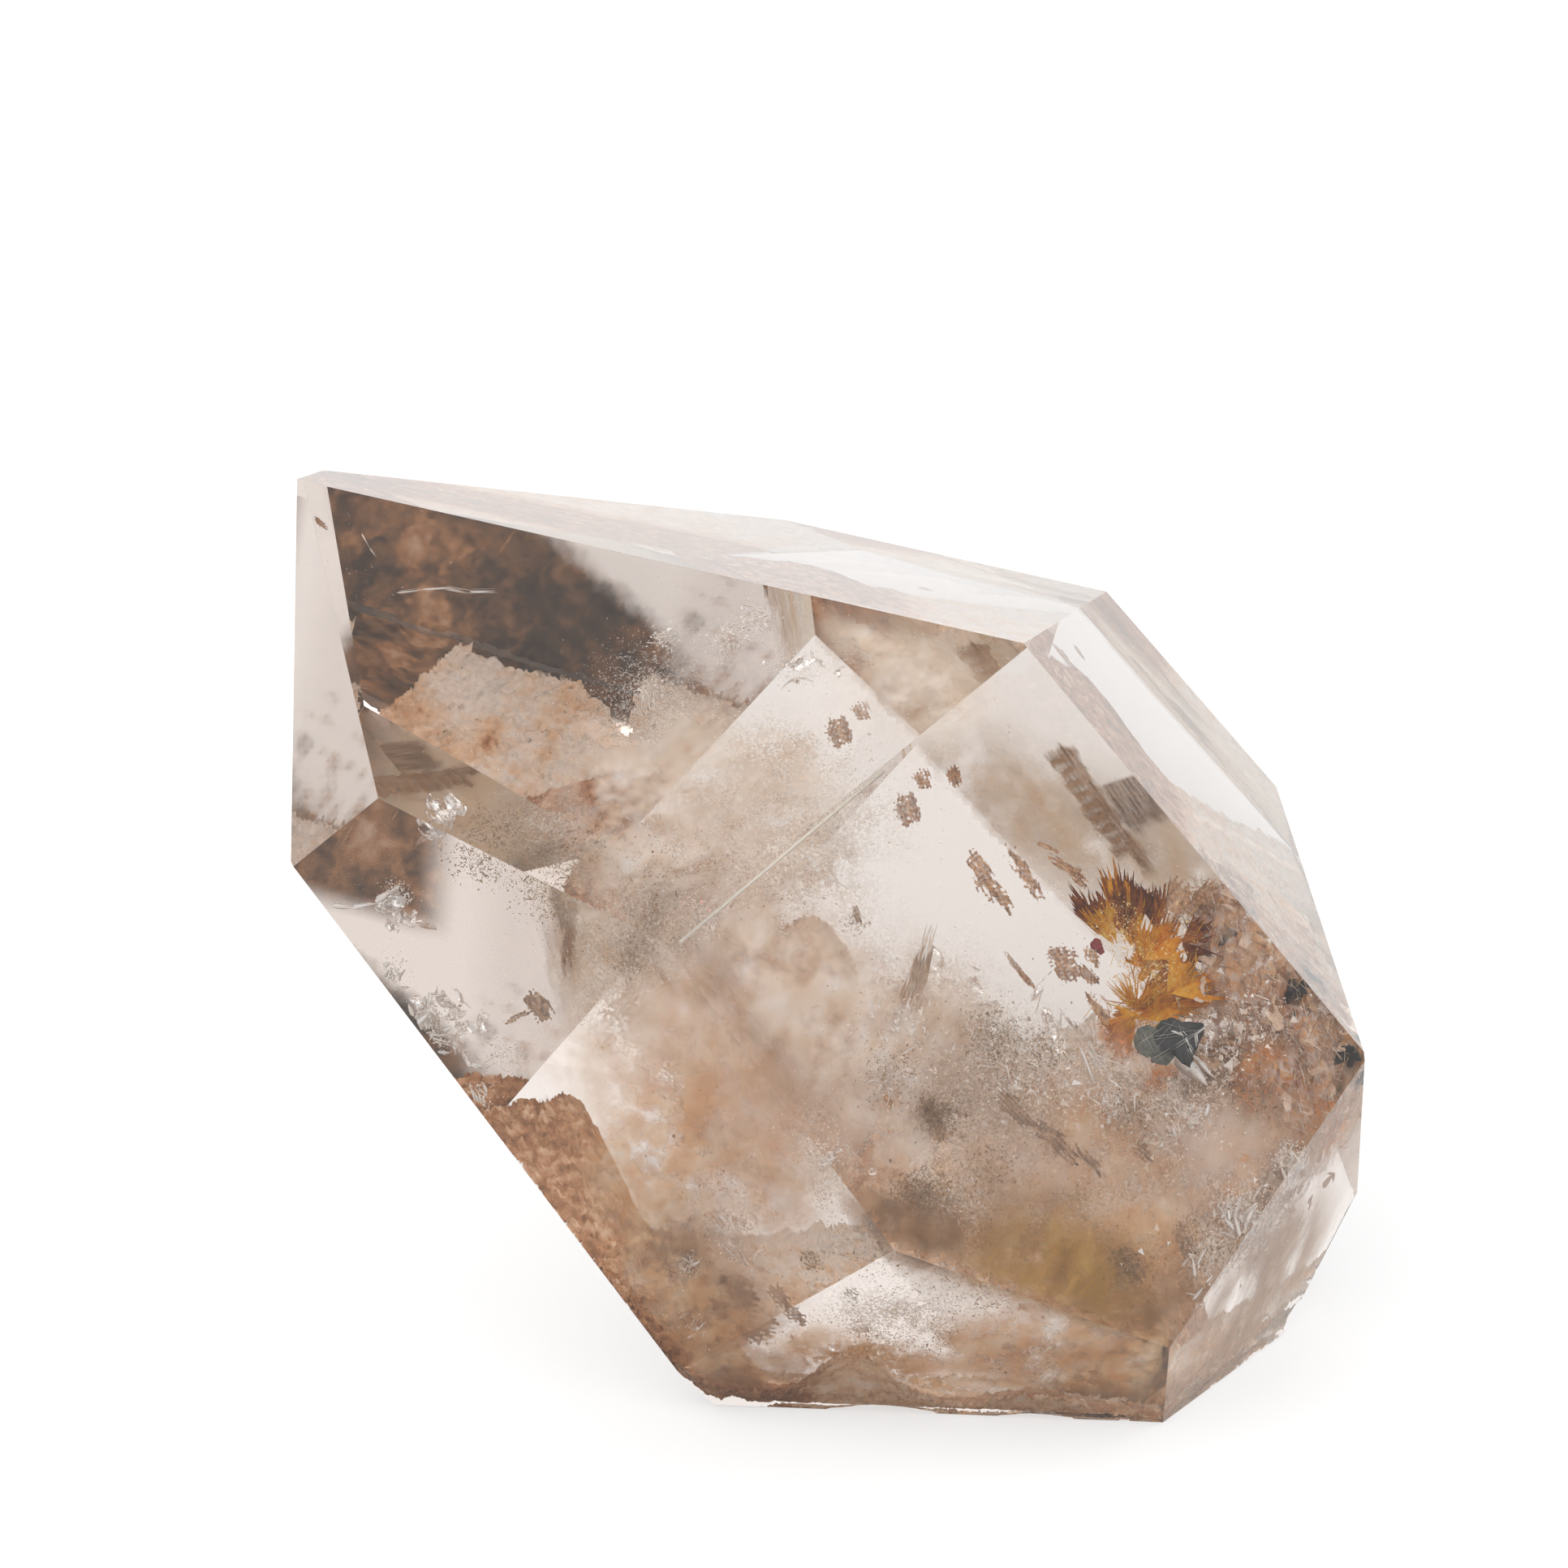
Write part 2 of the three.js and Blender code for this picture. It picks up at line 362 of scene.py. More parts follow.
def tufts(rng, spots, flat=0.12):
    """Bundles of thin blades, each a middle, its reach, a direction, how far the blades stray from it, their
    number, length and width."""
    made = []
    for middle, reach, way, stray, count, length, width in spots:
        roots = np.array(middle, float) + reach * rng.normal(size=(count, 3)) - unit(way) * length / 2
        made.append(blades(rng, roots, unit(way), stray, length, width, flat=flat, bend=0.08))
    return inside_only(joined(*made), BLADE_POINTS, 0.1)


def thread(rng, corners, width, count, stray):
    """Thin blades end to end along a line of corner points, with some more beside it."""
    corners = np.array(corners, float)
    made = []
    for start, end in zip(corners[:-1], corners[1:]):
        roots = np.repeat(start[None], count, axis=0) + stray * rng.normal(size=(count, 3))
        length = 1.15 * np.linalg.norm(end - start)
        made.append(blades(rng, roots, end - start, 0.01, length, width, bend=0.02))
    return joined(*made)


def film(middle, right, up, length, width, seed):
    """A ragged flake on the front facet's layout, a along its grain and b across it. It ends where
    1 - |2a / length|^2.5 - |2b / width|^2.5 plus two noises, one drawn out along the grain, falls to 0."""
    way = unit(right * RIGHT + up * UP)
    side = np.cross(OUT, way)
    a, b = np.meshgrid(
        np.linspace(-0.62, 0.62, 56) * length, np.linspace(-0.7, 0.7, 34) * width, indexing="ij")
    flat = np.stack([a, b], -1)
    stripes, crumbs = noise(flat * (0.16, 1.0), 0.55, seed, 3), noise(flat, 0.6, seed + 1, 4)
    body = 1 - np.abs(2 * a / length) ** 2.5 - np.abs(2 * b / width) ** 2.5 + 0.9 * stripes + 0.7 * crumbs
    lift = 0.1 * noise(flat, 1.6, seed + 2, 3)
    places = np.asarray(middle, float) + a[..., None] * way + b[..., None] * side + lift[..., None] * OUT
    fade = step(body, 0.1, 0.4) * np.clip(0.85 + 0.5 * crumbs, 0.4, 0.97)
    tone = np.clip(0.5 + 0.55 * stripes + 0.5 * noise(flat, 0.35, seed + 3, 3), 0, 1)
    inside = (fade > 0.02) & (depth_inside(places) > 0.2)
    return kept(surface(places, tone, fade), inside.ravel())


def slab(middle, corners, thickness, ragged, seed):
    """A thin closed plate on the front facet's layout. Its outline runs through corners, in millimetres
    across and up, and noise of ragged times its size breaks it. Rings run from the middle of the top over the
    rim to the bottom."""
    t = np.linspace(0, len(corners), 8 * len(corners), endpoint=False)
    closed = np.array([*corners, corners[0]], float)
    line = np.stack([np.interp(t, np.arange(len(closed)), closed[:, k]) for k in (0, 1)], -1)
    line = line * (1 + ragged * noise(line, 1.1, seed, 4))[:, None]
    reach = np.array([0, 0.5, 0.9, 1, 1, 0.9, 0.5, 0])[:, None, None] * line
    side = np.array([1, 1, 1, 0.6, -0.6, -1, -1, -1])[:, None]
    lift = side * thickness / 2 + 0.12 * noise(reach, 1.6, seed + 1, 3)
    places = np.asarray(middle, float) + reach[..., :1] * RIGHT + reach[..., 1:] * UP + lift[..., None] * OUT
    tone = np.clip(0.5 + 0.6 * noise(reach, 1.2, seed + 2, 4), 0, 1)
    return places.reshape(-1, 3), grid_faces(1, len(side), len(t), True), tone.ravel()


def rod(start, end, width):
    """A closed rod from start to end, whose section is a square with its corners half the width off the
    middle line."""
    start, end = np.array(start, float), np.array(end, float)
    across, along = square_to(unit(end - start)[None])
    corners = width / 2 * np.concatenate([across + along, along - across, -across - along, across - along])
    sides = [[k, (k + 1) % 4, 4 + (k + 1) % 4, 4 + k] for k in range(4)]
    faces = np.array(sides + [[3, 2, 1, 0], [4, 5, 6, 7]])
    return np.concatenate([start + corners, end + corners]), faces, np.linspace(0, 1, 8)


def joined(*shapes):
    """Several shapes' points, faces and values as one."""
    offset = np.cumsum([0] + [len(shape[0]) for shape in shapes[:-1]])
    return (np.concatenate([shape[0] for shape in shapes]),
            np.concatenate([shape[1] + start for shape, start in zip(shapes, offset)]),
            *(np.concatenate(values) for values in zip(*(shape[2:] for shape in shapes))))


def inside_only(shape, part_points, margin=SKIN):
    """A shape without those of its parts that come within margin millimetres of the stone's surface. Each
    part has the same number of points, part_points."""
    places, faces, tone = shape
    good = (depth_inside(places) > margin).reshape(-1, part_points).all(1)
    points = np.repeat(good, part_points)
    new = np.cumsum(points) - 1
    return places[points], new[faces[good[faces[:, 0] // part_points]]], tone[points]


def mesh_piece(name, shape, material):
    """Adds an object at the origin, from points in millimetres, faces as rows of equal length, and up to two
    values from 0 to 1 at each point, its tone and its fade, which its material reads."""
    points, faces, *values = shape
    points = np.asarray(points, float).reshape(-1, 3) * MM
    mesh = bpy.data.meshes.new(name)
    mesh.vertices.add(len(points))
    mesh.vertices.foreach_set("co", points.ravel())
    mesh.loops.add(faces.size)
    mesh.loops.foreach_set("vertex_index", faces.ravel())
    mesh.polygons.add(len(faces))
    mesh.polygons.foreach_set("loop_start", np.arange(len(faces)) * faces.shape[1])
    for title, value in zip(("tone", "fade"), values):
        mesh.attributes.new(title, "FLOAT", "POINT").data.foreach_set("value", np.asarray(value, np.float32))
    mesh.update(calc_edges=True)
    mesh.validate()
    mesh.materials.append(material)
    piece = bpy.data.objects.new(name, mesh)
    bpy.context.scene.collection.objects.link(piece)
    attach(piece, "root")


def haze(name, material, slot, *parts):
    """Adds a piece of wavy sheets under one or more facets; each part is what layers takes."""
    mesh_piece(name, joined(*(layers(*part) for part in parts)), material)


# Materials


def node(tree, kind, inputs=None, stops=(), **settings):
    """Adds a node with its settings; inputs maps a socket to a value, or to the output that is linked to it,
    and stops are a colour ramp's places from 0 to 1, each with its colour."""
    made = tree.nodes.new(kind)
    for key, value in settings.items():
        setattr(made, key, value)
    for key, value in (inputs or {}).items():
        if isinstance(value, bpy.types.NodeSocket):
            tree.links.new(value, made.inputs[key])
        else:
            made.inputs[key].default_value = value
    if stops:
        band = made.color_ramp.elements
        while len(band) < len(stops):
            band.new(0.5)
        for k, (place, colour) in enumerate(stops):
            band[k].position = place
            band[k].color = colour
    return made


def evenly(colours):
    """Evenly spaced stops of a colour ramp through hex colours."""
    return [(k / (len(colours) - 1), opaque(srgb(colour))) for k, colour in enumerate(colours)]


def new_material(name):
    """An empty node material and its output node."""
    material = bpy.data.materials.new(name)
    material.use_nodes = True
    material.node_tree.nodes.clear()
    return material, material.node_tree, node(material.node_tree, "ShaderNodeOutputMaterial")


def polished_quartz(s):
    """Smoky quartz, sawn, ground and polished: clear, IOR 1.544, tan in depth, with the faint waves of hand
    polishing."""
    material, tree, out = new_material("smoky quartz, hand polished")
    place = node(tree, "ShaderNodeTexCoord").outputs["Object"]
    wave = node(tree, "ShaderNodeTexNoise", {"Vector": place, "Scale": 1 / s.wave_size, "Detail": 1.0})
    bump = node(tree, "ShaderNodeBump", {
        "Height": wave.outputs["Fac"], "Strength": 1.0, "Distance": s.wave_height})
    skin = node(tree, "ShaderNodeBsdfPrincipled", {
        "Base Color": (1, 1, 1, 1), "Roughness": 0.0, "IOR": s.ior, "Transmission Weight": 1.0,
        "Normal": bump.outputs["Normal"]})
    depth = node(tree, "ShaderNodeVolumeAbsorption", {
        "Color": opaque(s.depth_colour), "Density": s.depth_density})
    tree.links.new(skin.outputs["BSDF"], out.inputs["Surface"])
    tree.links.new(depth.outputs["Volume"], out.inputs["Volume"])
    return material


def mineral(name, colours, grain, roughness, metallic=0.0, relief=0.0, cover=1.0, holes=0.0, mottle=0.6,
            through=0.0, fades=False):
    """Material that runs through hex colours with the piece's tone and a mottle, whose grain is in
    millimetres. relief is the height of its bumps in millimetres, cover its opacity, holes the share that
    noise opens in it, through how much light passes it, and with fades its opacity is the piece's fade."""
    material, tree, out = new_material(name)
    place = node(tree, "ShaderNodeTexCoord").outputs["Object"]
    tone = node(tree, "ShaderNodeAttribute", attribute_name="tone").outputs["Fac"]
    spots = node(tree, "ShaderNodeTexNoise", {
        "Vector": place, "Scale": 1 / (grain * MM), "Detail": 5.0, "Roughness": 0.65})
    drawn = node(tree, "ShaderNodeMapRange", {
        "Value": spots.outputs["Fac"], "From Min": 0.32, "From Max": 0.68})
    mixed = node(tree, "ShaderNodeMix", {0: mottle, 2: tone, 3: drawn.outputs["Result"]}, data_type="FLOAT")
    run = node(tree, "ShaderNodeValToRGB", {"Fac": mixed.outputs[0]}, evenly(colours))
    inputs = {
        "Base Color": run.outputs["Color"], "Roughness": roughness, "Metallic": metallic, "Alpha": cover}
    if through:
        inputs.update({"Transmission Weight": through, "IOR": 1.02})
    if relief:
        fine = node(tree, "ShaderNodeTexNoise", {"Vector": place, "Scale": 3 / (grain * MM), "Detail": 4.0})
        bump = node(tree, "ShaderNodeBump", {
            "Height": fine.outputs["Fac"], "Strength": 1.0, "Distance": relief * MM})
        inputs["Normal"] = bump.outputs["Normal"]
    if holes:
        gaps = node(tree, "ShaderNodeTexNoise", {
            "Vector": place, "Scale": 1.7 / (grain * MM), "Detail": 6.0, "Roughness": 0.7})
        left = node(tree, "ShaderNodeMapRange", {
            "Value": gaps.outputs["Fac"], "From Min": 0.3 + 0.4 * holes, "From Max": 0.42 + 0.4 * holes,
            "To Min": 0.0, "To Max": cover}, interpolation_type="SMOOTHSTEP")
        inputs["Alpha"] = left.outputs["Result"]
    if fades:
        inputs["Alpha"] = node(tree, "ShaderNodeAttribute", attribute_name="fade").outputs["Fac"]
    skin = node(tree, "ShaderNodeBsdfPrincipled", inputs)
    tree.links.new(skin.outputs["BSDF"], out.inputs["Surface"])
    return material


def veil(name, colours, wisp, opens, soft, cover, grainy=0.0, stretch=(1, 1, 1), turn=(0, 0, 0)):
    """Material of a haze that is drawn on thin sheets. Its opacity is the piece's fade times cover, times a
    cloud noise that is wisp millimetres wide and opens around one level, times specks 0.3 millimetres wide
    for grainy, which are coarser than the real ones so that they show. The piece's tone runs through the hex
    colours."""
    material, tree, out = new_material(name)
    place = node(tree, "ShaderNodeTexCoord").outputs["Object"]
    drawn = node(tree, "ShaderNodeMapping", {
        "Vector": place, "Rotation": turn, "Scale": stretch}).outputs["Vector"]
    clouds = node(tree, "ShaderNodeTexNoise", {
        "Vector": drawn, "Scale": 1 / (wisp * MM), "Detail": 2.6, "Roughness": 0.7})
    body = node(tree, "ShaderNodeMapRange", {
        "Value": clouds.outputs["Fac"], "From Min": opens - soft, "From Max": opens + soft, "To Min": 0.0,
        "To Max": cover}, interpolation_type="SMOOTHSTEP")
    shape = body.outputs["Result"]
    if grainy:
        specks = node(tree, "ShaderNodeTexNoise", {"Vector": drawn, "Scale": 1 / (0.3 * MM), "Detail": 0.0})
        dots = node(tree, "ShaderNodeMapRange", {
            "Value": specks.outputs["Fac"], "From Min": 0.38, "From Max": 0.62, "To Min": 1 - grainy,
            "To Max": 1 + grainy})
        shape = node(tree, "ShaderNodeMath", {
            0: shape, 1: dots.outputs["Result"]}, operation="MULTIPLY").outputs[0]
    fade = node(tree, "ShaderNodeAttribute", attribute_name="fade").outputs["Fac"]
    alpha = node(tree, "ShaderNodeMath", {0: shape, 1: fade}, operation="MULTIPLY", use_clamp=True)
    tone = node(tree, "ShaderNodeAttribute", attribute_name="tone").outputs["Fac"]
    run = node(tree, "ShaderNodeValToRGB", {"Fac": tone}, evenly(colours))
    skin = node(tree, "ShaderNodeBsdfPrincipled", {
        "Base Color": run.outputs["Color"], "Roughness": 0.6, "Alpha": alpha.outputs[0],
        "Specular IOR Level": 0.2})
    tree.links.new(skin.outputs["BSDF"], out.inputs["Surface"])
    return material


# Settings


class StoneSettings(bpy.types.PropertyGroup):
    ior: FloatProperty(name="IOR", description="Refractive index of quartz", default=1.544, min=1.0, max=3.0)
    arris: FloatProperty(
        name="Arris", description="Width of the soft edge that polishing leaves between two facets",
        default=0.22 * MM, subtype="DISTANCE", unit="LENGTH")
    depth_colour: FloatVectorProperty(
        name="Smoky tint", description="Colour that the stone leaves in light that passes through it",
        default=srgb("D4BAA4"), subtype="COLOR", min=0, max=1, size=3)
    depth_density: FloatProperty(
        name="Smoky density", description="How fast the stone darkens with depth, per metre",
        default=6.4, min=0)
    wave_size: FloatProperty(
        name="Polish wave size", description="Size of the waves that hand polishing leaves on a facet",
        default=14 * MM, subtype="DISTANCE", unit="LENGTH")
    wave_height: FloatProperty(
        name="Polish wave height", description="Height of the polishing waves",
        default=0.008 * MM, subtype="DISTANCE", unit="LENGTH")


class VeilSettings(bpy.types.PropertyGroup):
    sheets: IntProperty(
        name="Veils", description="Number of thin sheets that the milky haze is drawn on", default=54, min=1,
        max=120)
    grains: IntProperty(
        name="Flakes", description="Number of tiny flakes in the milky haze", default=80000, min=1,
        max=190000)
    grain_size: FloatProperty(
        name="Flake size", description="Width of a veil's flakes, drawn coarse enough to show",
        default=0.14 * MM, subtype="DISTANCE", unit="LENGTH")


class StageSettings(bpy.types.PropertyGroup):
    backdrop: FloatProperty(
        name="Backdrop", description="Brightness of the white sweep behind the stone", default=1.12, min=0)
    ceiling: FloatProperty(
        name="Ceiling", description="Brightness of the soft boxes overhead", default=2.9, min=0)
    room: FloatProperty(
        name="Room", description="Brightness of the room on the camera's side", default=2.15, min=0)
    gaps: FloatProperty(
        name="Gaps",
        description="Brightness right above and between the soft boxes, which the two front slopes mirror",
        default=1.0, min=0)


class QUARTZ_OT_stage(bpy.types.Operator):
    """Camera at the photograph's angle, white sweep, soft light and pale floor"""
    bl_idname = "quartz.stage"
    bl_label = "Stage"

    def execute(self, context):
        s, scene = context.scene.quartz_stage, context.scene
        camera = bpy.data.objects.new("camera", bpy.data.cameras.new("camera"))
        camera.data.sensor_width = 36.0
        camera.data.angle = math.radians(22.0)
        camera.location = (-0.0042, -0.3390, 0.1336)
        camera.rotation_euler = (math.radians(75.0), 0.0, 0.0)
        scene.collection.objects.link(camera)
        scene.camera = camera
        scene.view_settings.view_transform = "Standard"

        # Light folds many times inside the stone before it comes out
        scene.cycles.max_bounces = 24
        scene.cycles.glossy_bounces = 24
        scene.cycles.transmission_bounces = 24
        scene.cycles.transparent_max_bounces = 96
        scene.cycles.diffuse_bounces = 12

        world = bpy.data.worlds.new("white sweep")
        world.use_nodes = True
        world.cycles.sampling_method = "NONE"  # no light sample reaches the inclusions through the facets
        scene.world = world
        tree = world.node_tree
        tree.nodes.clear()
        seen = node(tree, "ShaderNodeTexCoord").outputs["Generated"]
        way = node(tree, "ShaderNodeSeparateXYZ", {"Vector": seen})
        height = node(tree, "ShaderNodeMapRange", {
            "Value": way.outputs["Z"], "From Min": -1.0, "From Max": 1.0})
        # A ramp's places are the sine of the height from -1 to 1, and its colours are a third of the
        # brightness, because they end at 1
        share = 3.0
        rear_stops = (
            (0.5, s.backdrop), (0.775, s.backdrop), (0.87, s.ceiling), (0.94, s.ceiling), (0.975, s.gaps))
        front_stops = (
            (0.4, s.room), (0.56, s.room), (0.66, s.gaps), (0.80, s.gaps), (0.87, s.ceiling),
            (0.94, s.ceiling), (0.975, s.gaps))
        rear, front = (
            node(tree, "ShaderNodeValToRGB", {"Fac": height.outputs["Result"]},
                 [(place, opaque((value / share,) * 3)) for place, value in stops])
            for stops in (rear_stops, front_stops))
        side = node(tree, "ShaderNodeMapRange", {
            "Value": way.outputs["Y"], "From Min": -0.65,
            "From Max": -0.15}, interpolation_type="SMOOTHSTEP").outputs["Result"]
        mixed = node(tree, "ShaderNodeMix", {
            0: side, 6: front.outputs[0], 7: rear.outputs[0]}, data_type="RGBA")
        lit = node(tree, "ShaderNodeMath", {0: mixed.outputs[2], 1: share}, operation="MULTIPLY")
        seen = node(tree, "ShaderNodeLightPath").outputs["Is Camera Ray"]
        glow = node(tree, "ShaderNodeMix", {0: seen, 2: lit.outputs[0], 3: s.backdrop}, data_type="FLOAT")
        sky = node(tree, "ShaderNodeBackground", {"Color": (1, 1, 1, 1), "Strength": glow.outputs[0]})
        node(tree, "ShaderNodeOutputWorld", {"Surface": sky.outputs[0]})

        floor_material, tree, out = new_material("white lit sweep paper")
        floor_material.cycles.emission_sampling = "NONE"  # as for the world
        paper = node(tree, "ShaderNodeBsdfDiffuse", {"Color": (0.3, 0.3, 0.3, 1)})
        # The camera sees the paper overexposed
        seen = node(tree, "ShaderNodeLightPath").outputs["Is Camera Ray"]
        bright = node(tree, "ShaderNodeMapRange", {"Value": seen, "To Min": 0.46, "To Max": 0.62})
        light = node(tree, "ShaderNodeEmission", {
            "Color": (1, 1, 1, 1), "Strength": bright.outputs["Result"]})
        both = node(tree, "ShaderNodeAddShader", {0: paper.outputs[0], 1: light.outputs[0]})
        tree.links.new(both.outputs[0], out.inputs["Surface"])
        # A square of 6 metres, just under the stone
        half, drop = 3, 0.15 * MM
        corners = [(-half, -half, -drop), (half, -half, -drop), (half, half, -drop), (-half, half, -drop)]
        mesh = bpy.data.meshes.new("floor")
        mesh.from_pydata(corners, [], [(0, 1, 2, 3)])
        mesh.materials.append(floor_material)
        floor = bpy.data.objects.new("floor", mesh)
        scene.collection.objects.link(floor)
        return {"FINISHED"}


class QUARTZ_OT_stone(bpy.types.Operator):
    """The polished stone: the CAD facets with the soft arrises of polishing"""
    bl_idname = "quartz.stone"
    bl_label = "Quartz stone"

    def execute(self, context):
        s = context.scene.quartz_stone
        shape = bmesh.new()
        shape.from_mesh(STONE.data)
        bmesh.ops.remove_doubles(shape, verts=shape.verts, dist=1e-6)
        bmesh.ops.dissolve_limit(
            shape, angle_limit=math.radians(0.6), verts=shape.verts, edges=shape.edges,
            use_dissolve_boundaries=False)
        # Only the edges between two cut facets get an arris, and none so short that it would fold
        shortest = 1.2 * MM
        large = [e for e in shape.edges if len(e.link_faces) == 2 and e.calc_length() > shortest
                 and min(f.calc_area() for f in e.link_faces) > FACET_AREA]
        bmesh.ops.bevel(
            shape, geom=large, offset=s.arris, offset_type="OFFSET", segments=2, profile=0.5,
            affect="EDGES", clamp_overlap=True)
        mesh = bpy.data.meshes.new("quartz_stone")
        shape.to_mesh(mesh)
        shape.free()
        mesh.materials.append(polished_quartz(s))
        piece = bpy.data.objects.new("quartz_stone", mesh)
        context.scene.collection.objects.link(piece)
        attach(piece, "root")
        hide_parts("quartz_point")
        return {"FINISHED"}


# Directions across, up and out of the front facet, in which the minerals behind it are laid out
RIGHT, UP, OUT = unit((1, 0.1, 0.02)), unit((0.02, 0.37, 0.93)), unit((0.08, -0.93, 0.36))


def laid(middle, right, up, out=0.0):
    """Points on the front facet's own layout, from a middle point and steps across, up and out of it."""
    right, up, out = (np.asarray(v, float)[..., None] for v in (right, up, out))
    return np.asarray(middle, float) + right * RIGHT + up * UP + out * OUT


def blotched(tone, x, y, spots):
    """A tone with soft spots added, each more times exp(-((x - mid) / half)^2 - ((y - mid) / half)^2)."""
    for mid_x, mid_y, half_x, half_y, more in spots:
        tone = tone + more * np.exp(-((x - mid_x) / half_x) ** 2 - ((y - mid_y) / half_y) ** 2)
    return tone


class QUARTZ_OT_crust(bpy.types.Operator):
    """The limonite-stained growth crust that lies over the base and climbs the back"""
    bl_idname = "quartz.crust"
    bl_label = "Base crust"

    def execute(self, context):
        x, y = np.meshgrid(np.linspace(-22, 40, 260), np.linspace(-40, 48, 320), indexing="ij")
        flat = np.stack([x, y], -1)
        rise = 10.5 * step(y, 12, 33) * step(-x, 3, 11) + 2.0 * step(-x, 2, 10) + 1.4 * step(y, 0, 30)
        arch = 5.2 * np.exp(-((x - 1.5) / 4.0) ** 2) + 1.8 * np.exp(-((x - 16) / 3.6) ** 2)
        arch = arch * step(-y, 24, 34)
        rough = bent(flat, 4, 2.0, 14)
        lumps = 1.1 * noise(flat, 9, 3) + 0.8 * noise(rough, 3.4, 4) + 0.35 * noise(rough, 1.1, 5)
        z = 1.1 + rise + arch + lumps - 1.2 * step(-x, 2, 8) * step(-y, 18, 28)
        places = np.stack([x, y, np.maximum(z, 0.35)], -1)
        # The rim on the right peaks twice, and the left slope mirrors it as the ragged edge of a rock
        falling = np.minimum(26.7 - 0.55 * (y - 12), 22.7 - 1.8 * (y - 25))
        rim = np.minimum(np.maximum(12.6 + 2.3 * (y - 6.4), 12), falling)
        rim = rim + 2.6 * np.exp(-((y - 23.3) / 2.2) ** 2)
        rim = rim + 0.9 * noise(rough, 3.0, 6) + 0.5 * noise(rough, 1.0, 7)
        rim = np.where(y < 2, 27 + 2.0 * noise(flat, 6, 8), rim)
        rim = np.where(y > 30.5 + 1.2 * noise(flat, 4, 12), 25, rim)
        lace = noise(rough, 1.5, 9, 3) + 1.6 * step(y, -39, -30)
        depth = depth_inside(places)
        keep = (depth > 0.3) & (x < rim) & (lace > -0.2)
        fade = step(depth, 0.3, 0.34) * step(rim - x, 0, 0.4) * step(lace, -0.2, -0.1)
        # Pinkish white crest, orange lower flank, a dark fold, and yellower ground towards the back. The tone
        # is painted lighter on the tops of the lumps and darker in their hollows, as painted highlight and
        # painted shade, and the dark fold is painted shade
        tone = 0.22 + 0.24 * noise(flat, 6, 10) + 0.14 * noise(rough, 1.6, 13) - 0.08 * lumps
        tone = tone + 0.33 * step(-y, -4, 6) - 0.14 * step(y, 30, 34) * step(x, 4, 9)
        tone = tone + step(-x, -1, 6) * (0.66 + 0.4 * noise(rough, 3.0, 11))
        spots = ((20, 15, 6, 4.5, -0.3), (13, 9, 5, 3.2, 0.4), (10, 17.6, 2.4, 1.1, 0.45), (7, 14, 3, 3, 0.3),
                 (17, 25, 4, 3.4, 0.2))
        tone = np.clip(blotched(tone, x, y, spots), 0, 1)
        # An earthy tan ground under the clear stone
        crust = mineral(
            "limonite-stained quartz crust, grown", ("FFFFFF", "FFF6EC", "FADCBC", "CE9A70", "7A5236"),
            grain=1.5, roughness=1.0, relief=0.1, mottle=0.3, through=0.12, fades=True)
        # The rows run the other way, so that the faces point up
        places, tone, fade, keep = places[:, ::-1], tone[:, ::-1], fade[:, ::-1], keep[:, ::-1]
        shape = kept(surface(places, tone, fade), keep.ravel())
        mesh_piece("base_crust", shape, crust)
        return {"FINISHED"}


class QUARTZ_OT_foot(bpy.types.Operator):
    """The dark manganese and iron stain inside the back foot, which the back slope mirrors to the front"""
    bl_idname = "quartz.foot_stain"
    bl_label = "Foot stain"

    def execute(self, context):
        _, out, distance = facet(BACK_FOOT)
        along = unit(np.cross((0, 0, 1.0), out))
        up = np.cross(out, along)
        s, t = np.meshgrid(np.linspace(-34, 38, 200), np.linspace(-14, 22, 110), indexing="ij")
        # 0.9 under the facet, and at height 9 where t is 0
        middle = out * (distance - 0.9) + along * 14 + up * ((9 - out[2] * distance) / up[2])
        flat = np.stack([s, t], -1)
        places = (
            middle + s[..., None] * along + t[..., None] * up + (0.5 * noise(flat, 6, 21))[..., None] * out)
        y, z = places[..., 1], places[..., 2]
        over = z - (12.4 - 0.45 * (y - 19)) + 0.8 * noise(flat, 5, 22)
        rear = step(y, 31, 37)
        patches = step(noise(flat * (0.6, 1.0), 4.5, 24) - 0.05 * np.maximum(over, -2), -0.2, 0.7)
        low = (1 - step(over, -1.8, 1.2)) * (1 - rear) + rear * (0.15 + 0.75 * patches)
        high = step(z, 14.3, 17.0) * (1 - step(y, 26, 31))
        depth = depth_inside(places)
        fade = np.clip(low + high, 0, 1) * 0.97 * step(depth, 0.2, 0.3)
        tone = 0.44 + 0.3 * rear + 0.14 * high + 0.5 * noise(bent(flat, 9, 4.0, 27) * (1.0, 0.5), 5, 23)
        spots = (
            (22, 4, 8, 6, -0.42), (7, 8.5, 6, 2.6, 0.32), (9, 1.5, 6, 1.6, 0.16), (3, 4, 3, 1.6, -0.3),
            (15.5, 7, 1.5, 1.2, -0.2), (6, 6.4, 0.9, 1.4, 0.5), (33, 10, 2.4, 1.6, 0.5),
            (21, 22, 3, 2.5, 0.4))
        tone = np.clip(blotched(tone, y, z, spots), 0, 1)
        # The dark blurred ground that the left slope mirrors
        stain = mineral("manganese and iron stain, grown", (
            "2C2520", "544538", "8E6E50", "C89C70",
            "F0DCC6"), grain=5.0, roughness=0.8, mottle=0.4, fades=True)
        keep = (depth > 0.2) & (fade > 0.01)
        mesh_piece("foot_stain", kept(surface(places, tone, fade), keep.ravel()), stain)
        return {"FINISHED"}


